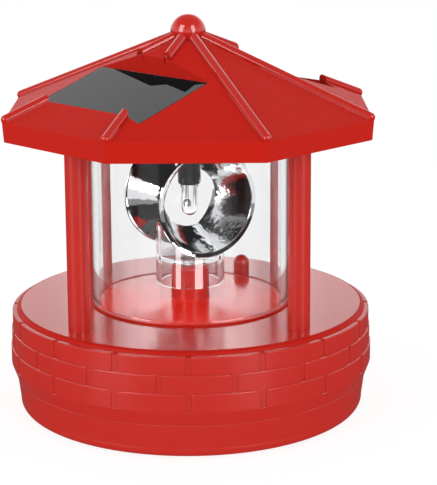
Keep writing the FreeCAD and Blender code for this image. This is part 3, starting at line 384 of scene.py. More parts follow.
METAL_FINISHES = {  # tone, roughness
    "brass": ((0.72, 0.52, 0.22), 0.22),
    "plated_steel": ((0.56, 0.56, 0.57), 0.3),
    "bright_steel": ((0.62, 0.62, 0.63), 0.18),
}


def red_plastic(name, roughness, grain, gloss=0.5, depth=1.0):
    """Moulded red plastic with a faint mottle and a fine grain, given by its depth in metres."""
    # A depth under one darkens the red for a whole piece: painted shade, not a different plastic.
    red = [c * depth for c in settings("finish").red]
    finish = Finish(name)
    mottle = finish.noise(size=0.009, detail=3.0)
    tone = finish.blend(mottle * 0.5, tuple(red), tuple(c * 0.9 for c in red))
    fine = finish.noise(size=0.00035, detail=2.0)
    cloud = finish.noise(size=0.004, detail=2.0)
    return finish.surface(Base_Color=tone, Roughness=roughness * 0.85 + cloud * (roughness * 0.3),
                          Normal=finish.bump(fine, grain), IOR=ACRYLIC, Specular_IOR_Level=gloss)


def clear_plastic(name, tint, roughness, ripple, index):
    """Clear moulded plastic with a very slight ripple, given by its depth in metres."""
    finish = Finish(name)
    haze = finish.noise(size=0.003, detail=2.0)
    wave = finish.noise(size=0.012, detail=1.0)
    return finish.surface(Base_Color=tint, Roughness=roughness + haze * (roughness * 0.5),
                          Normal=finish.bump(wave, ripple), IOR=index, Transmission_Weight=1.0)


def chrome_plate(name):
    """Vacuum plated plastic: a mirror with moulding ripples and faint drips."""
    finish = Finish(name)
    broad, narrow = finish.noise(size=0.006, detail=2.0), finish.noise(size=0.0016, detail=2.0)
    ripple = broad * 0.7 + narrow * 0.3
    haze = finish.noise(size=0.002, detail=3.0)
    tint = tuple(settings("finish").chrome)
    tone = finish.blend(haze * 0.3, tint, tuple(c * 0.93 for c in tint))
    return finish.surface(Base_Color=tone, Metallic=1.0, Roughness=0.03 + haze * 0.05,
                          Normal=finish.bump(ripple, CHROME_RIPPLE))


def solar_cell(name):
    """Near-black silicon film with hairline collector lines across each strip."""
    finish = Finish(name)
    across = (0.0, 0.0, math.radians(PANELS["rear"]))
    turn = finish.node("ShaderNodeMapping", {"vector_type": "POINT"},
                       {"Vector": finish.place, "Rotation": across})
    bands = finish.node("ShaderNodeTexWave", {"wave_type": "BANDS", "bands_direction": "X"},
                        {"Vector": turn, "Scale": LINES_PER_METRE, "Distortion": 0.0},
                        out="Fac")
    line = bands > LINE_EDGE
    film = finish.noise(size=0.006, detail=2.0)
    tone = finish.blend(film, (0.004, 0.0045, 0.006), (0.007, 0.0075, 0.009))
    tone = finish.blend(line * 0.5, tone, (0.05, 0.05, 0.05))
    return finish.surface(Base_Color=tone, Roughness=0.22 + film * 0.1, IOR=1.5)


def dull_plastic(name, tone, roughness, grain):
    """Matt moulded plastic, rubber or board with a slight mottle and a fine texture."""
    finish = Finish(name)
    mottle = finish.noise(size=0.004, detail=3.0)
    varied = finish.blend(mottle, tuple(c * 0.85 for c in tone),
                          tuple(min(1.0, c * 1.1) for c in tone))
    return finish.surface(Base_Color=varied, Roughness=roughness + mottle * 0.08,
                          Normal=finish.bump(finish.noise(size=0.0003, detail=2.0), grain))


def metal(name, tone, roughness):
    """Plain metal with fine turning marks."""
    finish = Finish(name)
    marks = finish.noise(size=0.0008, detail=4.0)
    varied = finish.blend(marks * 0.5, tuple(tone), tuple(c * 0.8 for c in tone))
    return finish.surface(Base_Color=varied, Metallic=1.0, Roughness=roughness + marks * 0.12,
                          Normal=finish.bump(marks, METAL_MARKS))


def circuit_board(name):
    """Green lacquered board with fine copper tracks under the lacquer."""
    finish = Finish(name)
    cells = finish.node("ShaderNodeTexVoronoi", {"feature": "DISTANCE_TO_EDGE"},
                        {"Vector": finish.place, "Scale": TRACKS_PER_METRE}, out="Distance")
    track = 1.0 - (cells > TRACK_EDGE)
    tone = finish.blend(track, (0.012, 0.09, 0.03), (0.03, 0.17, 0.06))
    return finish.surface(Base_Color=tone, Roughness=0.35,
                          Normal=finish.bump(track, TRACK_RISE))


def pale_floor(name):
    """The studio's pale floor."""
    finish = Finish(name)
    cloud = finish.noise(size=0.3, detail=2.0)
    tone = finish.blend(cloud, (0.14, 0.14, 0.14), (0.16, 0.16, 0.16))
    return finish.surface(Base_Color=tone, Roughness=0.9, Emission_Color=(1.0, 1.0, 1.0),
                          Emission_Strength=0.88, Specular_IOR_Level=0.0)


def glow(name, strength):
    """A plain white light card."""
    return Finish(name).surface(Base_Color=(0.0, 0.0, 0.0), Emission_Color=(1.0, 1.0, 1.0),
                                Emission_Strength=strength, Specular_IOR_Level=0.0)


def make_finishes():
    tuning = settings("finish")
    red_plastic("red_gloss", roughness=tuning.deck_roughness, grain=0.000002)
    red_plastic("red_satin", roughness=tuning.red_roughness, grain=0.000012)
    # The roof's and the ribs' finishes darken the red by their depth: painted shade, besides their
    # own roughness and gloss.
    red_plastic("red_roof", roughness=0.5, grain=0.000012, gloss=0.06, depth=0.94)
    red_plastic("red_polish", roughness=0.07, grain=0.000001)
    # The boss's finish darkens the red to 0.86: painted shade, in place of the shadow that the
    # clear cylinder and sleeve, which cast none, would give.
    red_plastic("red_boss", roughness=0.12, grain=0.000002, gloss=0.3, depth=0.86)
    red_plastic("red_rib", roughness=0.1, grain=0.000002, gloss=0.4, depth=0.94)
    for name, (tint, roughness, ripple, index) in CLEAR_FINISHES.items():
        clear_plastic(name, tint or tuple(tuning.clear), roughness, ripple, index)
    for name, (tone, roughness, texture) in DULL_FINISHES.items():
        dull_plastic(name, tone, roughness, texture)
    for name, (tone, roughness) in METAL_FINISHES.items():
        metal(name, tone, roughness)
    chrome_plate("chrome_plating")
    solar_cell("solar_cell")
    circuit_board("circuit_board")


def finish_of(name):
    return bpy.data.materials[FINISH_MARK + name]


# ---------------------------------------------------------------- meshes
def polar(radius, degrees, z=0.0):
    turn = math.radians(degrees)
    return Vector((radius * math.cos(turn), radius * math.sin(turn), z))


def circle(radius, sides):
    return [polar(radius, 360.0 * step / sides) for step in range(sides)]


def to_object(name, shape):
    """A linked object from a bmesh, closed and with its faces outwards."""
    bmesh.ops.remove_doubles(shape, verts=shape.verts, dist=MERGE)
    bmesh.ops.recalc_face_normals(shape, faces=shape.faces)
    mesh = bpy.data.meshes.new(name)
    shape.to_mesh(mesh)
    shape.free()
    item = bpy.data.objects.new(name, mesh)
    bpy.context.scene.collection.objects.link(item)
    return item


def smooth(item, limit, weighted=True):
    """Smooth shading, sharp past a limit in degrees, with large faces kept flat."""
    item.data.shade_smooth()
    item.data.set_sharp_from_angle(angle=math.radians(limit))
    if weighted:
        weigh = item.modifiers.new("weigh", "WEIGHTED_NORMAL")
        weigh.keep_sharp = True
        apply_modifiers(item)
    return item


def apply_modifiers(item):
    """Turn what the modifiers make into the object's plain mesh."""
    graph = bpy.context.evaluated_depsgraph_get()
    mesh = bpy.data.meshes.new_from_object(item.evaluated_get(graph), depsgraph=graph)
    item.modifiers.clear()
    old = item.data
    item.data = mesh
    mesh.name = item.name
    bpy.data.meshes.remove(old)
    return item


def bevel(item, width, segments, limit=None):
    """Round the edges past a limit in degrees, or the weighted ones."""
    edge = item.modifiers.new("bevel", "BEVEL")
    edge.width = width
    edge.segments = segments
    edge.limit_method = "WEIGHT" if limit is None else "ANGLE"
    if limit is not None:
        edge.angle_limit = math.radians(limit)
    edge.miter_outer = "MITER_ARC"
    return apply_modifiers(item)


def cut(item, tools):
    """Cut tools from an item, and remove them."""
    for tool in tools:
        step = item.modifiers.new("cut", "BOOLEAN")
        step.operation = "DIFFERENCE"
        step.solver = "EXACT"
        step.object = tool
    apply_modifiers(item)
    for tool in tools:
        remove(tool)
    return item


def remove(item):
    mesh = item.data
    bpy.data.objects.remove(item)
    bpy.data.meshes.remove(mesh)


def join(name, items):
    """One object from several; each keeps its materials and its shading."""
    bpy.ops.object.select_all(action="DESELECT")
    for item in items:
        item.select_set(True)
    bpy.context.view_layer.objects.active = items[0]
    bpy.ops.object.join()
    items[0].name = name
    items[0].data.name = name
    return items[0]


def coat(item, *finishes):
    item.data.materials.clear()
    for name in finishes:
        item.data.materials.append(finish_of(name))
    return item


def deliver(item, body, slot, *replaced):
    """Put a finished piece on its body and let it stand for CAD nodes."""
    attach(item, body)
    if replaced:
        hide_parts(*replaced)
    return item


def paint(finish, *names):
    """Give CAD nodes a finish."""
    for name in names:
        for slot in NODES[name].material_slots:
            slot.material = finish_of(finish)


def hide(kind, *names):
    """Keep CAD nodes out of one kind of ray: glossy or shadow."""
    for name in names:
        setattr(NODES[name], "visible_" + kind, False)


def fillet(outline):
    """Round each corner (x, z, radius) of a closed outline; gives plain points."""
    points = []
    for index, (x, z, radius) in enumerate(outline):
        corner = Vector((x, z))
        if radius <= 0.0:
            points.append(corner)
            continue
        come = (Vector(outline[index - 1][:2]) - corner).normalized()
        leave = (Vector(outline[(index + 1) % len(outline)][:2]) - corner).normalized()
        half = come.angle(leave) / 2
        centre = corner + (come + leave).normalized() * (radius / math.sin(half))
        start = corner + come * (radius / math.tan(half)) - centre
        end = corner + leave * (radius / math.tan(half)) - centre
        sweep = start.angle_signed(end)
        for step in range(FILLET_STEPS + 1):
            turn = Matrix.Rotation(-sweep * step / FILLET_STEPS, 2)
            points.append(centre + turn @ start)
    return points


def brace(points):
    """Add a point near each end of the long runs, so that smooth shading keeps them flat."""
    reach, long_run = 0.15 * MM, 8
    braced = []
    for index, point in enumerate(points):
        following = points[(index + 1) % len(points)]
        run = following - point
        braced.append(point)
        if run.length > long_run * reach:
            braced.append(point + run.normalized() * reach)
            braced.append(following - run.normalized() * reach)
    return braced


def lathe(name, outline, around=AROUND):
    """A closed shape turned about Z from an outline of (radius, height, rounding)."""
    points = brace(fillet(outline))
    shape = bmesh.new()
    rings = []
    for x, z in points:
        if x < MERGE:
            rings.append([shape.verts.new((0.0, 0.0, z))] * around)
            continue
        rings.append([shape.verts.new((*point.xy, z)) for point in circle(x, around)])
    for low, high in zip(rings, rings[1:] + rings[:1]):
        if low[0] is low[1] and high[0] is high[1]:
            continue
        for step in range(around):
            after = (step + 1) % around
            corners = [low[step], low[after], high[after], high[step]]
            shape.faces.new(list(dict.fromkeys(corners)))
    return to_object(name, shape)


def prism(name, outline, low, high):
    """An upright prism over a plan outline; low and high are heights, or give a point's."""
    def level(height, point):
        return (point.x, point.y, height(point) if callable(height) else height)
    shape = bmesh.new()
    bottom = [shape.verts.new(level(low, point)) for point in outline]
    top = [shape.verts.new(level(high, point)) for point in outline]
    shape.faces.new(bottom[::-1])
    shape.faces.new(top)
    for index, point in enumerate(bottom):
        after = (index + 1) % len(bottom)
        shape.faces.new([point, bottom[after], top[after], top[index]])
    return to_object(name, shape)


def cylinder(name, radius, low, high, x=0.0, y=0.0):
    """A plain closed cylinder, for cutting."""
    centre = Vector((x, y, 0.0))
    return prism(name, [centre + point for point in circle(radius, CUTTER_AROUND)], low, high)


# ---------------------------------------------------------------- repeats
RING_INPUTS = (("Geometry", "NodeSocketGeometry"), ("Count", "NodeSocketInt"),
               ("First turn", "NodeSocketFloat"), ("Turn", "NodeSocketFloat"),
               ("Material", "NodeSocketMaterial"))


def ring_tree():
    """Copies of the object's own mesh, each turned a step further about Z."""
    name = "ring"
    if name in bpy.data.node_groups:
        return bpy.data.node_groups[name]
    tree = bpy.data.node_groups.new(name, "GeometryNodeTree")
    for label, kind in RING_INPUTS:
        tree.interface.new_socket(label, in_out="INPUT", socket_type=kind)
    tree.interface.new_socket("Geometry", in_out="OUTPUT", socket_type="NodeSocketGeometry")

    def add(kind, sockets):
        node = tree.nodes.new(kind)
        for socket, source in sockets.items():
            tree.links.new(source, node.inputs[socket])
        return node.outputs[0]
    given = tree.nodes.new("NodeGroupInput").outputs
    index = add("GeometryNodeInputIndex", {})
    turn = add("ShaderNodeMath", {0: index, 1: given["Turn"], 2: given["First turn"]})
    turn.node.operation = "MULTIPLY_ADD"
    points = add("GeometryNodePoints", {"Count": given["Count"]})
    copies = add("GeometryNodeInstanceOnPoints", {
        "Points": points, "Instance": given["Geometry"],
        "Rotation": add("ShaderNodeCombineXYZ", {"Z": turn})})
    real = add("GeometryNodeRealizeInstances", {"Geometry": copies})
    done = add("GeometryNodeSetMaterial", {"Geometry": real, "Material": given["Material"]})
    tree.links.new(done, tree.nodes.new("NodeGroupOutput").inputs[0])
    return tree


def ring(item, count, finish, first=0.0):
    """Replace a mesh by even copies round the axis, the first turned by degrees."""
    maker = item.modifiers.new("ring", "NODES")
    maker.node_group = ring_tree()
    values = {"Count": count, "First turn": math.radians(first), "Turn": 2 * math.pi / count,
              "Material": finish_of(finish)}
    for socket in maker.node_group.interface.items_tree:
        if socket.in_out == "INPUT" and socket.name in values:
            maker[socket.identifier] = values[socket.name]
    return apply_modifiers(item)


# ---------------------------------------------------------------- base
def make_brick(course, low, high, reach):
    """One brick of a course, centred on +X, with its outer edges marked for rounding."""
    s = settings("base")
    half = math.pi / s.bricks - s.joint_width / 2 / reach
    root = reach - s.brick_root
    shape = bmesh.new()
    weight = shape.edges.layers.float.new("bevel_weight_edge")
    rows = []
    for column in range(BRICK_COLUMNS + 1):
        turn = math.degrees(half * (2 * column / BRICK_COLUMNS - 1))
        rows.append([shape.verts.new(polar(radius, turn, z))
                     for radius, z in ((root, low), (reach, low), (reach, high), (root, high))])
    for start, end in zip(rows, rows[1:]):
        for index in range(4):
            after = (index + 1) % 4
            shape.faces.new([start[index], end[index], end[after], start[after]])
    shape.faces.new(rows[0][::-1])
    shape.faces.new(rows[-1])
    for row in (rows[0], rows[-1]):
        shape.edges.get((row[1], row[2]))[weight] = 1.0
    for start, end in zip(rows, rows[1:]):
        shape.edges.get((start[2], end[2]))[weight] = 1.0
    item = to_object(f"brick_{course}", shape)
    return bevel(item, s.brick_round, BRICK_EDGE_STEPS)


def make_bricks():
    """Every course of the brick band; each lower course stands a step further out."""
    s = settings("base")
    pitch = 360.0 / s.bricks
    courses = []
    for course in range(s.courses):
        last = course == s.courses - 1
        high = s.band_top - course * s.course_height
        low = s.band_low if last else high - s.course_height - s.brick_lap
        reach = s.band_radius - (s.courses - 1 - course) * s.course_step
        bond = math.degrees(s.bond) if course % 2 else 0.0
        block = make_brick(course, low, high, reach)
        ring(block, s.bricks, "red_satin", -90.0 + pitch / 2 + bond)
        courses.append(smooth(block, SHARP["brick"]))
    return courses


def make_core():
    """Deck, rim, ring round the cylinder and ground of the brick joints, in one turned shape."""
    s, d = settings("base"), settings("deck")
    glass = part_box("lantern_cylinder")[1].x
    deck, under = s.deck_height, s.deck_height - s.deck_wall
    hole, flat = d.boss_radius - d.boss_lap, s.rim_radius - s.rim_round
    groove_in, groove_out = glass - d.glass_wall - d.groove_room, glass + d.groove_room
    collar, floor = groove_out + d.collar_width, deck + d.collar_height
    groove_floor, top = floor - d.groove_depth, s.band_top - s.joint_sink
    outline = [
        (hole, floor, 0.0), (groove_in, floor, ROUND["groove"]), (groove_in, groove_floor, 0.0),
        (groove_out, groove_floor, 0.0), (groove_out, floor, ROUND["groove"]),
        (collar, floor, ROUND["collar"]), (collar, deck, ROUND["collar_foot"]),
        (s.rim_radius, deck, s.rim_round), (s.rim_radius, top, 0.0)]
    for course in range(s.courses):
        last = course == s.courses - 1
        reach = s.band_radius - (s.courses - 1 - course) * s.course_step - s.joint_depth
        outline.append((reach, top - course * s.course_height, ROUND["joint"]))
        outline.append((reach, s.band_low if last else top - (course + 1) * s.course_height, 0.0))
    outline += [
        (s.band_radius, s.band_low, 0.0), (s.seam_radius, s.seam_height, ROUND["seam"]),
        (s.lap_radius, s.seam_height, ROUND["lap"]), (s.lap_radius, under, ROUND["deck_under"]),
        (hole, under, 0.0)]
    core = lathe("core", outline)
    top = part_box("power_button")[1].z
    seat = sum(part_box("button_seal"), Vector()) / 2
    cut(core, [cylinder("button_hole", d.button_radius + d.button_room, under - MM, top + MM,
                        seat.x, seat.y)])
    coat(core, "red_gloss", "red_satin", "red_roof")
    for face in core.data.polygons:
        reach, above = face.center.xy.length, face.center.z > under
        # The collar's faces and the rim's edge take the third finish, duller and darker: its darker
        # red is painted shade, which makes the collar's front a dark line.
        step = groove_out < reach <= collar + SLACK
        if above and (step or reach > flat):
            face.material_index = 2
        else:
            face.material_index = 0 if above and (reach < groove_in or collar < reach < flat) else 1
    return smooth(core, SHARP["turned"])


def make_boss():
    """The boss in the middle of the deck, with the bush's hole in its top."""
    s, d = settings("base"), settings("deck")
    top, low = d.boss_top, s.deck_height - s.deck_wall
    ledge, floor = top - d.bush_length, s.deck_height + d.collar_height
    boss = lathe("deck_boss", [
        (d.bush_radius, top, ROUND["bush"]), (d.boss_radius - d.boss_draft, top, ROUND["boss_top"]),
        (d.boss_radius, floor + d.boss_flare, ROUND["boss_foot"]),
        (d.boss_radius + d.boss_flare, floor, 0.0), (d.boss_radius, low, 0.0),
        (d.boss_hollow, low, ROUND["boss_hollow"]), (d.boss_hollow, ledge, 0.0),
        (d.bush_radius, ledge, 0.0)], BOSS_AROUND)
    # Its darker red is painted shade.
    return smooth(coat(boss, "red_boss"), SHARP["turned"])


def make_tie_posts():
    """Tall posts under the deck that take the screws from below."""
    s, d = settings("base"), settings("deck")
    top = s.deck_height - s.deck_wall + d.tie_lap
    post = lathe("tie_posts", [
        (d.tie_bore, d.post_low, ROUND["tie_bore"]), (d.tie_radius, d.post_low, ROUND["tie"]),
        (d.tie_radius, top, 0.0), (d.tie_bore, top, 0.0)], POST_AROUND)
    smooth(post, SHARP["post"])
    post.data.transform(Matrix.Translation((d.tie_pitch, 0.0, 0.0)))
    return ring(post, TIE_COUNT, "red_satin")


class LIGHTHOUSE_OT_base(Operator):
    """Build the deck, its rim and the band of raised bricks"""
    bl_idname = "lighthouse.base"
    bl_label = "Deck and brick band"

    def execute(self, context):
        pieces = [make_core()] + make_bricks() + [make_tie_posts()]
        moulding = join("deck_and_band", pieces)
        deliver(moulding, HOUSING, "red_plastic", "deck_shell")
        moulding.visible_glossy = False
        deliver(make_boss(), HOUSING, "red_plastic", "deck_shell")
        return {"FINISHED"}


class LIGHTHOUSE_OT_pan(Operator):
    """Finish the plain lower cup, its feet, its door and its screws"""
    bl_idname = "lighthouse.pan"
    bl_label = "Lower cup"

    def execute(self, context):
        paint("red_satin", "base_pan", "battery_door")
        hide("glossy", "base_pan")
        paint("rubber", "foot_front_left", "foot_front_right", "foot_back_left", "foot_back_right")
        paint("bright_steel", "base_screws", "battery_door_screw")
        return {"FINISHED"}


# ---------------------------------------------------------------- roof
def octagon_solid(name, levels):
    """A closed solid through eight-sided rings of (corner radius, height), upwards."""
    shape = bmesh.new()
    turns = [FIRST_RIDGE + 360.0 / RIDGES * index for index in range(RIDGES)]
    rings = [[shape.verts.new(polar(radius, turn, z)) for turn in turns] for radius, z in levels]
    for low, high in zip(rings, rings[1:]):
        for index in range(RIDGES):
            after = (index + 1) % RIDGES
            shape.faces.new([low[index], low[after], high[after], high[index]])
    shape.faces.new(rings[0][::-1])
    shape.faces.new(rings[-1])
    return to_object(name, shape)


def ridge(radius):
    """Height of a ridge at a distance from the axis."""
    s = settings("roof")
    return s.apex_height - radius * (s.apex_height - s.fascia_top) / s.eave_radius


def panel_face(point):
    """Height of a panel's slanted face, for a point on a panel that faces +X."""
    p = settings("panel")
    return p.edge_height - p.slope * (point.x - p.near)


def panel_slab(name, heading, near, far, half, low, high):
    """A slab that follows a panel's slanted face, between two drops from it."""
    plan = [Vector((near, -half, 0)), Vector((far, -half, 0)), Vector((far, half, 0)),
            Vector((near, half, 0))]
    slab = prism(name, plan, lambda point: panel_face(point) - low,
                 lambda point: panel_face(point) - high)
    slab.data.transform(Matrix.Rotation(math.radians(heading), 4, "Z"))
    return slab


def make_pockets():
    """What the panels' seats take out of the roof, reaching up past it."""
    p = settings("panel")
    return [panel_slab(f"pocket_{name}", heading, p.near, p.far, p.width / 2, p.stack,
                       -p.pocket_rise) for name, heading in PANELS.items()]


def make_rib():
    """A half-round rib along one ridge, with a rounded nose at the eave, over +X."""
    s = settings("roof")
    half = s.rib_width / 2
    rise = s.rib_height - half
    ends = s.rib_start, s.eave_radius - s.rib_short
    places = [Vector((reach, 0.0, ridge(reach))) for reach in ends]
    along = (places[1] - places[0]).normalized()
    side = Vector((0.0, 1.0, 0.0))
    out = Vector((-along.z, 0.0, along.x))
    flank = [(half, -s.rib_sink), (half, 0.0), (half, rise)]
    for step in range(1, RIB_STEPS):
        turn = math.pi / 2 * step / RIB_STEPS
        flank.append((half * math.cos(turn), rise + half * math.sin(turn)))
    section = flank + [(0.0, rise + half)] + [(-x, z) for x, z in reversed(flank)]
    shape = bmesh.new()

    def strip(first, second):
        for index in range(len(first) - 1):
            corners = (first[index], second[index], second[index + 1], first[index + 1])
            shape.faces.new(list(dict.fromkeys(corners)))
    runs = [[shape.verts.new(place + side * x + out * z) for x, z in section] for place in places]
    strip(*runs)
    tip = runs[1][len(flank)]
    fans = [runs[1][:len(flank) + 1]]
    for step in range(1, 2 * RIB_STEPS):
        turn = math.pi / 2 * step / RIB_STEPS
        way = side * math.cos(turn) + along * math.sin(turn)
        fans.append([shape.verts.new(places[1] + way * x + out * z) for x, z in flank] + [tip])
    fans.append(runs[1][:len(flank) - 1:-1])
    for first, second in zip(fans, fans[1:]):
        strip(first, second)
    bmesh.ops.holes_fill(shape, edges=[edge for edge in shape.edges if edge.is_boundary])
    return to_object("rib", shape)


class LIGHTHOUSE_OT_roof(Operator):
    """Build the eight-sided ribbed roof with its two sunk panel seats"""
    bl_idname = "lighthouse.roof"
    bl_label = "Roof"

    def execute(self, context):
        s, p = settings("roof"), settings("panel")
        roof = octagon_solid("roof_moulding", [
            (s.eave_low_radius, s.fascia_low), (s.eave_radius, s.fascia_top),
            (s.apex_flat, ridge(s.apex_flat))])
        bevel(roof, s.eave_round, EAVE_EDGE_STEPS, SHARP["bevel"])
        cavity = octagon_solid("cavity", [
            (s.eave_low_radius - s.wall, s.fascia_low - MM),
            (s.eave_radius - s.wall, s.fascia_top - s.wall * s.wall_at_eave),
            (s.apex_flat, ridge(s.apex_flat) - s.wall * s.wall_at_apex)])
        trays = [panel_slab(f"tray_{name}", heading, p.near - p.side, p.far + p.side,
                            p.width / 2 + p.side, p.stack + p.floor, -p.tray_rise)
                 for name, heading in PANELS.items()]
        cut(cavity, trays)
        cut(roof, [cavity] + make_pockets())
        smooth(coat(roof, "red_roof"), SHARP["roof"])
        ribs = ring(make_rib(), RIDGES, "red_rib", FIRST_RIDGE)
        cut(ribs, make_pockets())
        smooth(coat(ribs, "red_rib"), SHARP["rib"])
        moulding = join("roof_moulding", [roof, ribs])
        deliver(moulding, HOUSING, "red_plastic", "roof_shell")
        moulding.visible_glossy = False
        hide("glossy", "finial_ball")
        paint("red_satin", "roof_ceiling")
        paint("red_polish", "finial_ball")
        paint("bright_steel", "roof_screws", "finial_clip")
        return {"FINISHED"}


class LIGHTHOUSE_OT_panels(Operator):
    """Build the clear covers and finish the cells and boards of both solar panels"""
    bl_idname = "lighthouse.panels"
    bl_label = "Solar panels"

    def execute(self, context):
        p = settings("panel")
        for name, heading in PANELS.items():
            cover = panel_slab(f"panel_glass_{name}", heading, p.near + p.room, p.far - p.room,
                               p.width / 2 - p.room, p.cover, 0.0)
            bevel(cover, p.cover_round, COVER_EDGE_STEPS, SHARP["bevel"])
            smooth(coat(cover, "panel_cover"), SHARP["cover"])
            deliver(cover, HOUSING, "panel_cover", f"panel_cover_{name}")
            paint("solar_cell", f"panel_cells_{name}")
            paint("panel_board", f"panel_board_{name}")
        return {"FINISHED"}


# ---------------------------------------------------------------- lantern
class LIGHTHOUSE_OT_lantern(Operator):
    """Finish the pillars, the clear cylinder and its gaskets"""
    bl_idname = "lighthouse.lantern"
    bl_label = "Pillars and cylinder"

    def execute(self, context):
        paint("red_satin", "pillar_front_left", "pillar_front_right", "pillar_back_left",
              "pillar_back_right")
        paint("clear_cylinder", "lantern_cylinder")
        paint("gasket_silicone", "lower_gasket", "upper_gasket")
        hide("shadow", "lantern_cylinder")
        return {"FINISHED"}


def make_dish(name, heading):
    """One half of the turning reflector: a plated bowl with a rolled lip."""
    s = settings("optic")
    growth = (s.mouth ** 2 - s.waist ** 2) / s.reach
    lip = s.reach - s.lip

    def bowl(distance):
        return math.sqrt(s.waist ** 2 + growth * distance)

    def side(end, wall):
        steps = [end * step / DISH_SAMPLES for step in range(DISH_SAMPLES)]
        return [(bowl(distance) + wall, distance, 0.0) for distance in steps]
    rim = [(s.mouth, s.reach, s.lip_round), (s.rim, s.reach, s.lip_round),
           (s.rim, lip, s.lip_round), (bowl(lip) + s.wall, lip, ROUND["dish_neck"])]
    dish = lathe(name, side(s.reach, 0.0) + rim + side(lip, s.wall)[::-1], DISH_AROUND)
    aim = Matrix.Rotation(heading, 4, "Z") @ Matrix.Rotation(math.pi / 2, 4, "Y")
    dish.data.transform(Matrix.Translation((0.0, 0.0, s.height)) @ aim)
    cut(dish, [cylinder("opening", s.opening, s.height, s.height + s.opening_rise)])
    return smooth(coat(dish, "chrome_plating"), SHARP["turned"], weighted=False)


class LIGHTHOUSE_OT_reflector(Operator):
    """Build the turning double reflector and finish the clear sleeve that carries it"""
    bl_idname = "lighthouse.reflector"
    bl_label = "Reflector"

    def execute(self, context):
        heading = settings("optic").heading
        for name, turn in (("front", heading), ("rear", heading + math.pi)):
            dish = make_dish(f"{name}_mirror", turn)
            deliver(dish, ROTOR, "chrome_plating", f"{name}_reflector")
        paint("clear_sleeve", "rotor_sleeve")
        hide("shadow", "rotor_sleeve")
        paint("bright_steel", "output_shaft")
        paint("brass", "shaft_bush")
        return {"FINISHED"}


LAMP_FRAME_FOOT, LAMP_FRAME_TOP = 3.2, 0.3
LAMP_FRAME = (  # name, outline of (radius, height, rounding), stem radius, place, all in mm; sides
    ("lamp_frame", ((0.0, 0.5, 0.0), (0.45, 0.0, 0.05), (0.8, 0.0, 0.1), (0.95, 1.4, 0.2),
                    (0.4, 2.6, 0.2)), 0.35, -0.55, 48),
    ("lamp_post", ((0.0, 0.6, 0.0), (0.28, 0.6, 0.08)), 0.28, 1.15, 32),
)


def make_lamp_frame():
    """The lamp's metal frame: a post that widens to the cup, and a thin post beside it."""
    low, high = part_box("led_lamp")
    foot, top = low.z + LAMP_FRAME_FOOT * MM, high.z - LAMP_FRAME_TOP * MM
    pieces = []
    for name, outline, stem, place, around in LAMP_FRAME:
        points = [(x * MM, foot + z * MM, rounding * MM) for x, z, rounding in outline]
        piece = lathe(name, points + [(stem * MM, top, 0.0), (0.0, top, 0.0)], around)
        piece.data.transform(Matrix.Translation((place * MM, 0.0, 0.0)))
        pieces.append(smooth(coat(piece, "bright_steel"), SHARP["turned"]))
    return join("lamp_frame", pieces)


class LIGHTHOUSE_OT_lamp(Operator):
    """Build the lamp's inner frame and finish the lamp, its legs and its holder"""
    bl_idname = "lighthouse.lamp"
    bl_label = "Lamp"

    def execute(self, context):
        deliver(make_lamp_frame(), HOUSING, "bright_steel")
        paint("lamp_epoxy", "led_lamp")
        hide("shadow", "led_lamp")
        paint("black_plastic", "lamp_holder")
        paint("bright_steel", "led_legs")
        return {"FINISHED"}


class LIGHTHOUSE_OT_button(Operator):
    """Finish the power button and its seal"""
    bl_idname = "lighthouse.button"
    bl_label = "Power button"

    def execute(self, context):
        paint("red_satin", "power_button")
        paint("rubber", "button_seal")
        return {"FINISHED"}


INNER = {
    "black_plastic": ("gear_tray", "gear_lid", "switch_body", "board_components"),
    "gear_plastic": ("first_gear", "second_gear", "output_gear"),
    "brass": ("motor_pinion",),
    "circuit_board": ("control_board",),
    "battery_wrap": ("battery_cell",),
    "lead_jacket": ("roof_cable", "roof_leads", "roof_splice", "board_leads"),
    "plated_steel": ("motor_can",),
    "bright_steel": ("gear_case_screws", "gear_pins", "motor_screws", "motor_shaft",
                     "battery_contact", "battery_spring", "board_screws"),
}


class LIGHTHOUSE_OT_inner(Operator):
    """Finish the gears, motor, battery, board and leads inside the base and the roof"""
    bl_idname = "lighthouse.inner"
    bl_label = "Inner parts"

    def execute(self, context):
        for finish, names in INNER.items():
            paint(finish, *names)
            hide("glossy", *names)
        return {"FINISHED"}


# ---------------------------------------------------------------- stage
WORLD_SWEEP = ((0.0, 0.05), (0.47, 0.08), (0.5, 1.0), (0.62, 1.0), (0.78, 0.45),
               (0.84, 0.3))  # share of the way up, brightness
SIDES = (("left", -48.5, 26.0, 0.62), ("right", 37.5, 24.0, 0.5))  # name, turn, lift, width
FILL_DISTANCE, SHINE_DISTANCE, OVERHEAD_DISTANCE = 1.4, 1.3, 1.5
SIDE_TALL, OVERHEAD_SIZE = 1.0, 1.2
LOW_LIFT, LOW_TALL = -13.0, 0.36
REAR_LIFT, REAR_TALL = 14.0, 0.35
FLOOR_SIDES, ROOF_CARD_SIDES = 64, 48
CARD_THICK, CARD_STEP, LEAST_STEPS = 0.1 * MM, 3.0, 3
RAGGED_EDGE = ((0.0, 0.0), (0.1, 0.1), (0.4, 5.6), (0.58, 3.7), (0.72, 6.0), (0.86, 1.8),
               (1.0, 0.4))  # share of the width, height in mm
RAGGED_STEPS = 40
RAGGED_BACK, RAGGED_FRONT, RAGGED_FOOT, RAGGED_LEAST = 0.03 * MM, 0.06 * MM, 0.02 * MM, 0.03 * MM
HALVES = (("back", 90.0), ("front", 270.0))  # name, heading; each reaches a quarter turn
QUARTER, BEHIND, ABOVE = 90.0, 180.0, 90.0
FIRST_PILLAR, PILLARS = 45.0, 4
SLEEVE_STRIPS = (("left", -122.0, 7.0), ("right", -65.0, 11.0))  # name, heading, half width


def back(azimuth, elevation):
    """Direction from the ornament towards a viewer."""
    return Vector((math.sin(azimuth) * math.cos(elevation),
                   -math.cos(azimuth) * math.cos(elevation), math.sin(elevation)))


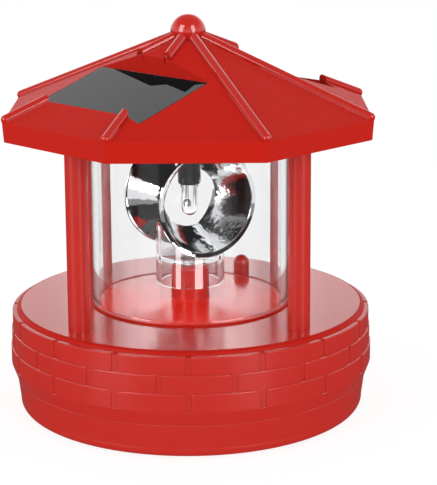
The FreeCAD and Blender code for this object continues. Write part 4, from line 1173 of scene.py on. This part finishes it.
def facing(azimuth, elevation):
    """A rotation whose -Z looks back along that direction at the ornament."""
    away = back(azimuth, elevation)
    right = Vector((math.cos(azimuth), math.sin(azimuth), 0.0))
    return Matrix((right, away.cross(right), away)).transposed().to_4x4()


def make_camera():
    s = settings("stage")
    data = bpy.data.cameras.new("camera")
    data.sensor_fit = "VERTICAL"
    data.sensor_height = s.sensor
    data.lens = s.lens
    data.shift_x = s.shift_x
    data.shift_y = s.shift_y
    data.clip_start, data.clip_end = 0.01, 20.0
    camera = bpy.data.objects.new("camera", data)
    bpy.context.scene.collection.objects.link(camera)
    target = Vector((0.0, 0.0, s.target))
    place = Matrix.Translation(target + back(s.azimuth, s.elevation) * s.distance)
    camera.matrix_world = place @ facing(s.azimuth, s.elevation) @ Matrix.Rotation(s.roll, 4, "Z")
    bpy.context.scene.camera = camera


def make_softbox(name, turn, elevation, distance, width, height, radiance):
    """A soft light aimed at the ornament, turned from the camera's side by degrees."""
    s = settings("stage")
    data = bpy.data.lights.new(name, "AREA")
    data.shape = "RECTANGLE"
    data.size, data.size_y = width, height
    data.energy = radiance * width * height * math.pi
    light = bpy.data.objects.new(name, data)
    bpy.context.scene.collection.objects.link(light)
    azimuth, lift = s.azimuth + math.radians(turn), math.radians(elevation)
    place = Vector((0.0, 0.0, s.target)) + back(azimuth, lift) * distance
    light.matrix_world = Matrix.Translation(place) @ facing(azimuth, lift)
    return light


def arc_wall(name, radius, middle, half, low, high):
    """A thin upright card that follows an arc about the axis, over angles in degrees."""
    steps = max(LEAST_STEPS, round(half / CARD_STEP))
    turns = [middle + half * (2 * step / steps - 1) for step in range(steps + 1)]
    plan = [polar(radius, turn) for turn in turns]
    plan += [polar(radius - CARD_THICK, turn) for turn in reversed(turns)]
    return prism(name, plan, low, high)


def make_ragged_card(name, heading):
    """A thin dark card along the upper wall of a panel's seat, with a ragged top edge: a painted
    dark reflection in the panel's cover.
    """
    p = settings("panel")
    half = p.width / 2 - SLACK

    def edge(point):
        place = (point.y + half) / (2 * half)
        for (start, low), (end, high) in zip(RAGGED_EDGE, RAGGED_EDGE[1:]):
            if place <= end:
                return (low + (high - low) * (place - start) / (end - start)) * MM
        return RAGGED_EDGE[-1][1] * MM
    across = [half * (2 * step / RAGGED_STEPS - 1) for step in range(RAGGED_STEPS + 1)]
    plan = [Vector((p.near + RAGGED_BACK, y, 0.0)) for y in across]
    plan += [Vector((p.near + RAGGED_FRONT, y, 0.0)) for y in reversed(across)]
    card = prism(name, plan, lambda point: panel_face(point) + RAGGED_FOOT,
                 lambda point: panel_face(point) + RAGGED_LEAST + edge(point))
    card.data.transform(Matrix.Rotation(math.radians(heading), 4, "Z"))
    return card


def show_in_gloss(card, material):
    """Stage a card that only reflections show."""
    card.data.materials.append(material)
    for kind in ("camera", "diffuse", "transmission", "shadow"):
        setattr(card, "visible_" + kind, False)


def make_cards():
    """Cards that only reflections show: dark ones under the roof, along the panels and in the
    cylinder, grey ones between these, and bright strips before the sleeve."""
    s = settings("stage")
    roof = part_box("roof_shell")[0].z
    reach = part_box("lantern_cylinder")[1].x - s.flag_room
    plan = circle(settings("roof").eave_low_radius, ROOF_CARD_SIDES)
    dark = [prism("flag_roof", plan, roof - CARD_THICK, roof)]
    dark += [make_ragged_card(f"flag_{name}", heading) for name, heading in PANELS.items()]
    for (side, heading), foot in zip(HALVES, (s.flag_foot, s.flag_front)):
        dark.append(arc_wall(f"flag_low_{side}", reach, heading, QUARTER, foot, s.flag_grey))
        dark.append(arc_wall(f"flag_high_{side}", reach, heading, QUARTER, s.flag_high, roof))
    for index in range(PILLARS):
        dark.append(arc_wall(f"flag_pillar_{index}", reach, FIRST_PILLAR + 360.0 / PILLARS * index,
                             math.degrees(s.flag_half), s.flag_low, s.flag_high))
    for card in dark:
        show_in_gloss(card, finish_of("card"))
    for side, heading in HALVES:
        card = arc_wall(f"grey_card_{side}", reach, heading, QUARTER, s.flag_grey, s.flag_low)
        show_in_gloss(card, glow(f"grey_card_{side}", s.grey))
    for side, heading, half in SLEEVE_STRIPS:
        card = arc_wall(f"sleeve_card_{side}", reach - s.strip_room, heading, half, s.strip_low,
                        s.strip_high)
        show_in_gloss(card, glow(f"sleeve_card_{side}", s.strip))


def make_world():
    """A bright sweep round the horizon, dim above and below it."""
    world = bpy.data.worlds.new("studio")
    bpy.context.scene.world = world
    world.use_nodes = True
    tree = world.node_tree
    tree.nodes.clear()

    def add(kind, out=0, **sources):
        node = tree.nodes.new(kind)
        for name, source in sources.items():
            tree.links.new(source, node.inputs[name])
        return node, node.outputs[out] if node.outputs else None
    way = add("ShaderNodeTexCoord", "Generated")[1]
    height = add("ShaderNodeSeparateXYZ", "Z", Vector=way)[1]
    lift, share_up = add("ShaderNodeMath", Value=height)
    lift.operation = "MULTIPLY_ADD"  # a height from -1 to 1 becomes a share from 0 to 1
    for socket in lift.inputs[1:]:
        socket.default_value = 0.5
    ramp, tone = add("ShaderNodeValToRGB", Fac=share_up)
    set_stops(ramp.color_ramp, WORLD_SWEEP)
    sky, light = add("ShaderNodeBackground", Color=tone)
    sky.inputs["Strength"].default_value = settings("stage").sweep
    add("ShaderNodeOutputWorld", Surface=light)


def make_lights():
    """A tall light at each side for matt surfaces, one for reflections and one low down, with
    one behind the ornament and one overhead."""
    s = settings("stage")
    for side, turn, lift, width in SIDES:
        fill = make_softbox(f"fill_{side}", turn, lift, FILL_DISTANCE, width, SIDE_TALL, s.fill)
        fill.visible_glossy = False
        shine = make_softbox(f"shine_{side}", turn, lift, SHINE_DISTANCE, width, SIDE_TALL, s.shine)
        low = make_softbox(f"low_{side}", turn, LOW_LIFT, SHINE_DISTANCE, width, LOW_TALL,
                           s.low_shine)
        shine.visible_diffuse = low.visible_diffuse = False
    rear = make_softbox("rear", BEHIND, REAR_LIFT, SHINE_DISTANCE, s.rear_width, REAR_TALL, s.rear)
    rear.visible_diffuse = False
    overhead = make_softbox("overhead", 0.0, ABOVE, OVERHEAD_DISTANCE, OVERHEAD_SIZE,
                            OVERHEAD_SIZE, s.overhead)
    overhead.visible_glossy = False


def make_floor():
    s = settings("stage")
    floor = prism("floor", circle(s.floor_radius, FLOOR_SIDES), -s.floor_thick, 0.0)
    floor.data.materials.append(pale_floor("pale_floor"))
    floor.visible_glossy = False


class LIGHTHOUSE_OT_stage(Operator):
    """Make the camera, the pale floor, the soft lights and the cards that reflections show"""
    bl_idname = "lighthouse.stage"
    bl_label = "Stage"

    def execute(self, context):
        make_camera()
        make_world()
        make_lights()
        make_cards()
        if settings("stage").show_floor:
            make_floor()
        context.scene.view_settings.view_transform = "Standard"
        return {"FINISHED"}


class LIGHTHOUSE_PT_panel(Panel):
    """The ornament's sizes, finishes and build steps"""
    bl_idname = "LIGHTHOUSE_PT_panel"
    bl_label = "Lighthouse"
    bl_space_type = "VIEW_3D"
    bl_region_type = "UI"
    bl_category = "Lighthouse"

    def draw(self, context):
        for name, group in SETTINGS.items():
            box = self.layout.box()
            box.label(text=group.__name__)
            for key in group.__annotations__:
                box.prop(getattr(context.scene, name), key)
        for operator in OPERATORS:
            self.layout.operator(operator.bl_idname)


OPERATORS = (LIGHTHOUSE_OT_stage, LIGHTHOUSE_OT_base, LIGHTHOUSE_OT_pan, LIGHTHOUSE_OT_roof,
             LIGHTHOUSE_OT_panels, LIGHTHOUSE_OT_lantern, LIGHTHOUSE_OT_reflector,
             LIGHTHOUSE_OT_lamp, LIGHTHOUSE_OT_button, LIGHTHOUSE_OT_inner)
CLASSES = (*SETTINGS.values(), *OPERATORS, LIGHTHOUSE_PT_panel)


def register():
    for item in CLASSES:
        bpy.utils.register_class(item)
    for name, group in SETTINGS.items():
        setattr(bpy.types.Scene, name, PointerProperty(type=group))


def unregister():
    for name in SETTINGS:
        delattr(bpy.types.Scene, name)
    for item in reversed(CLASSES):
        bpy.utils.unregister_class(item)


def main():
    register()
    make_finishes()
    for operator in OPERATORS:
        group, name = operator.bl_idname.split(".")
        getattr(getattr(bpy.ops, group), name)()


if __name__ == "__main__":
    main()
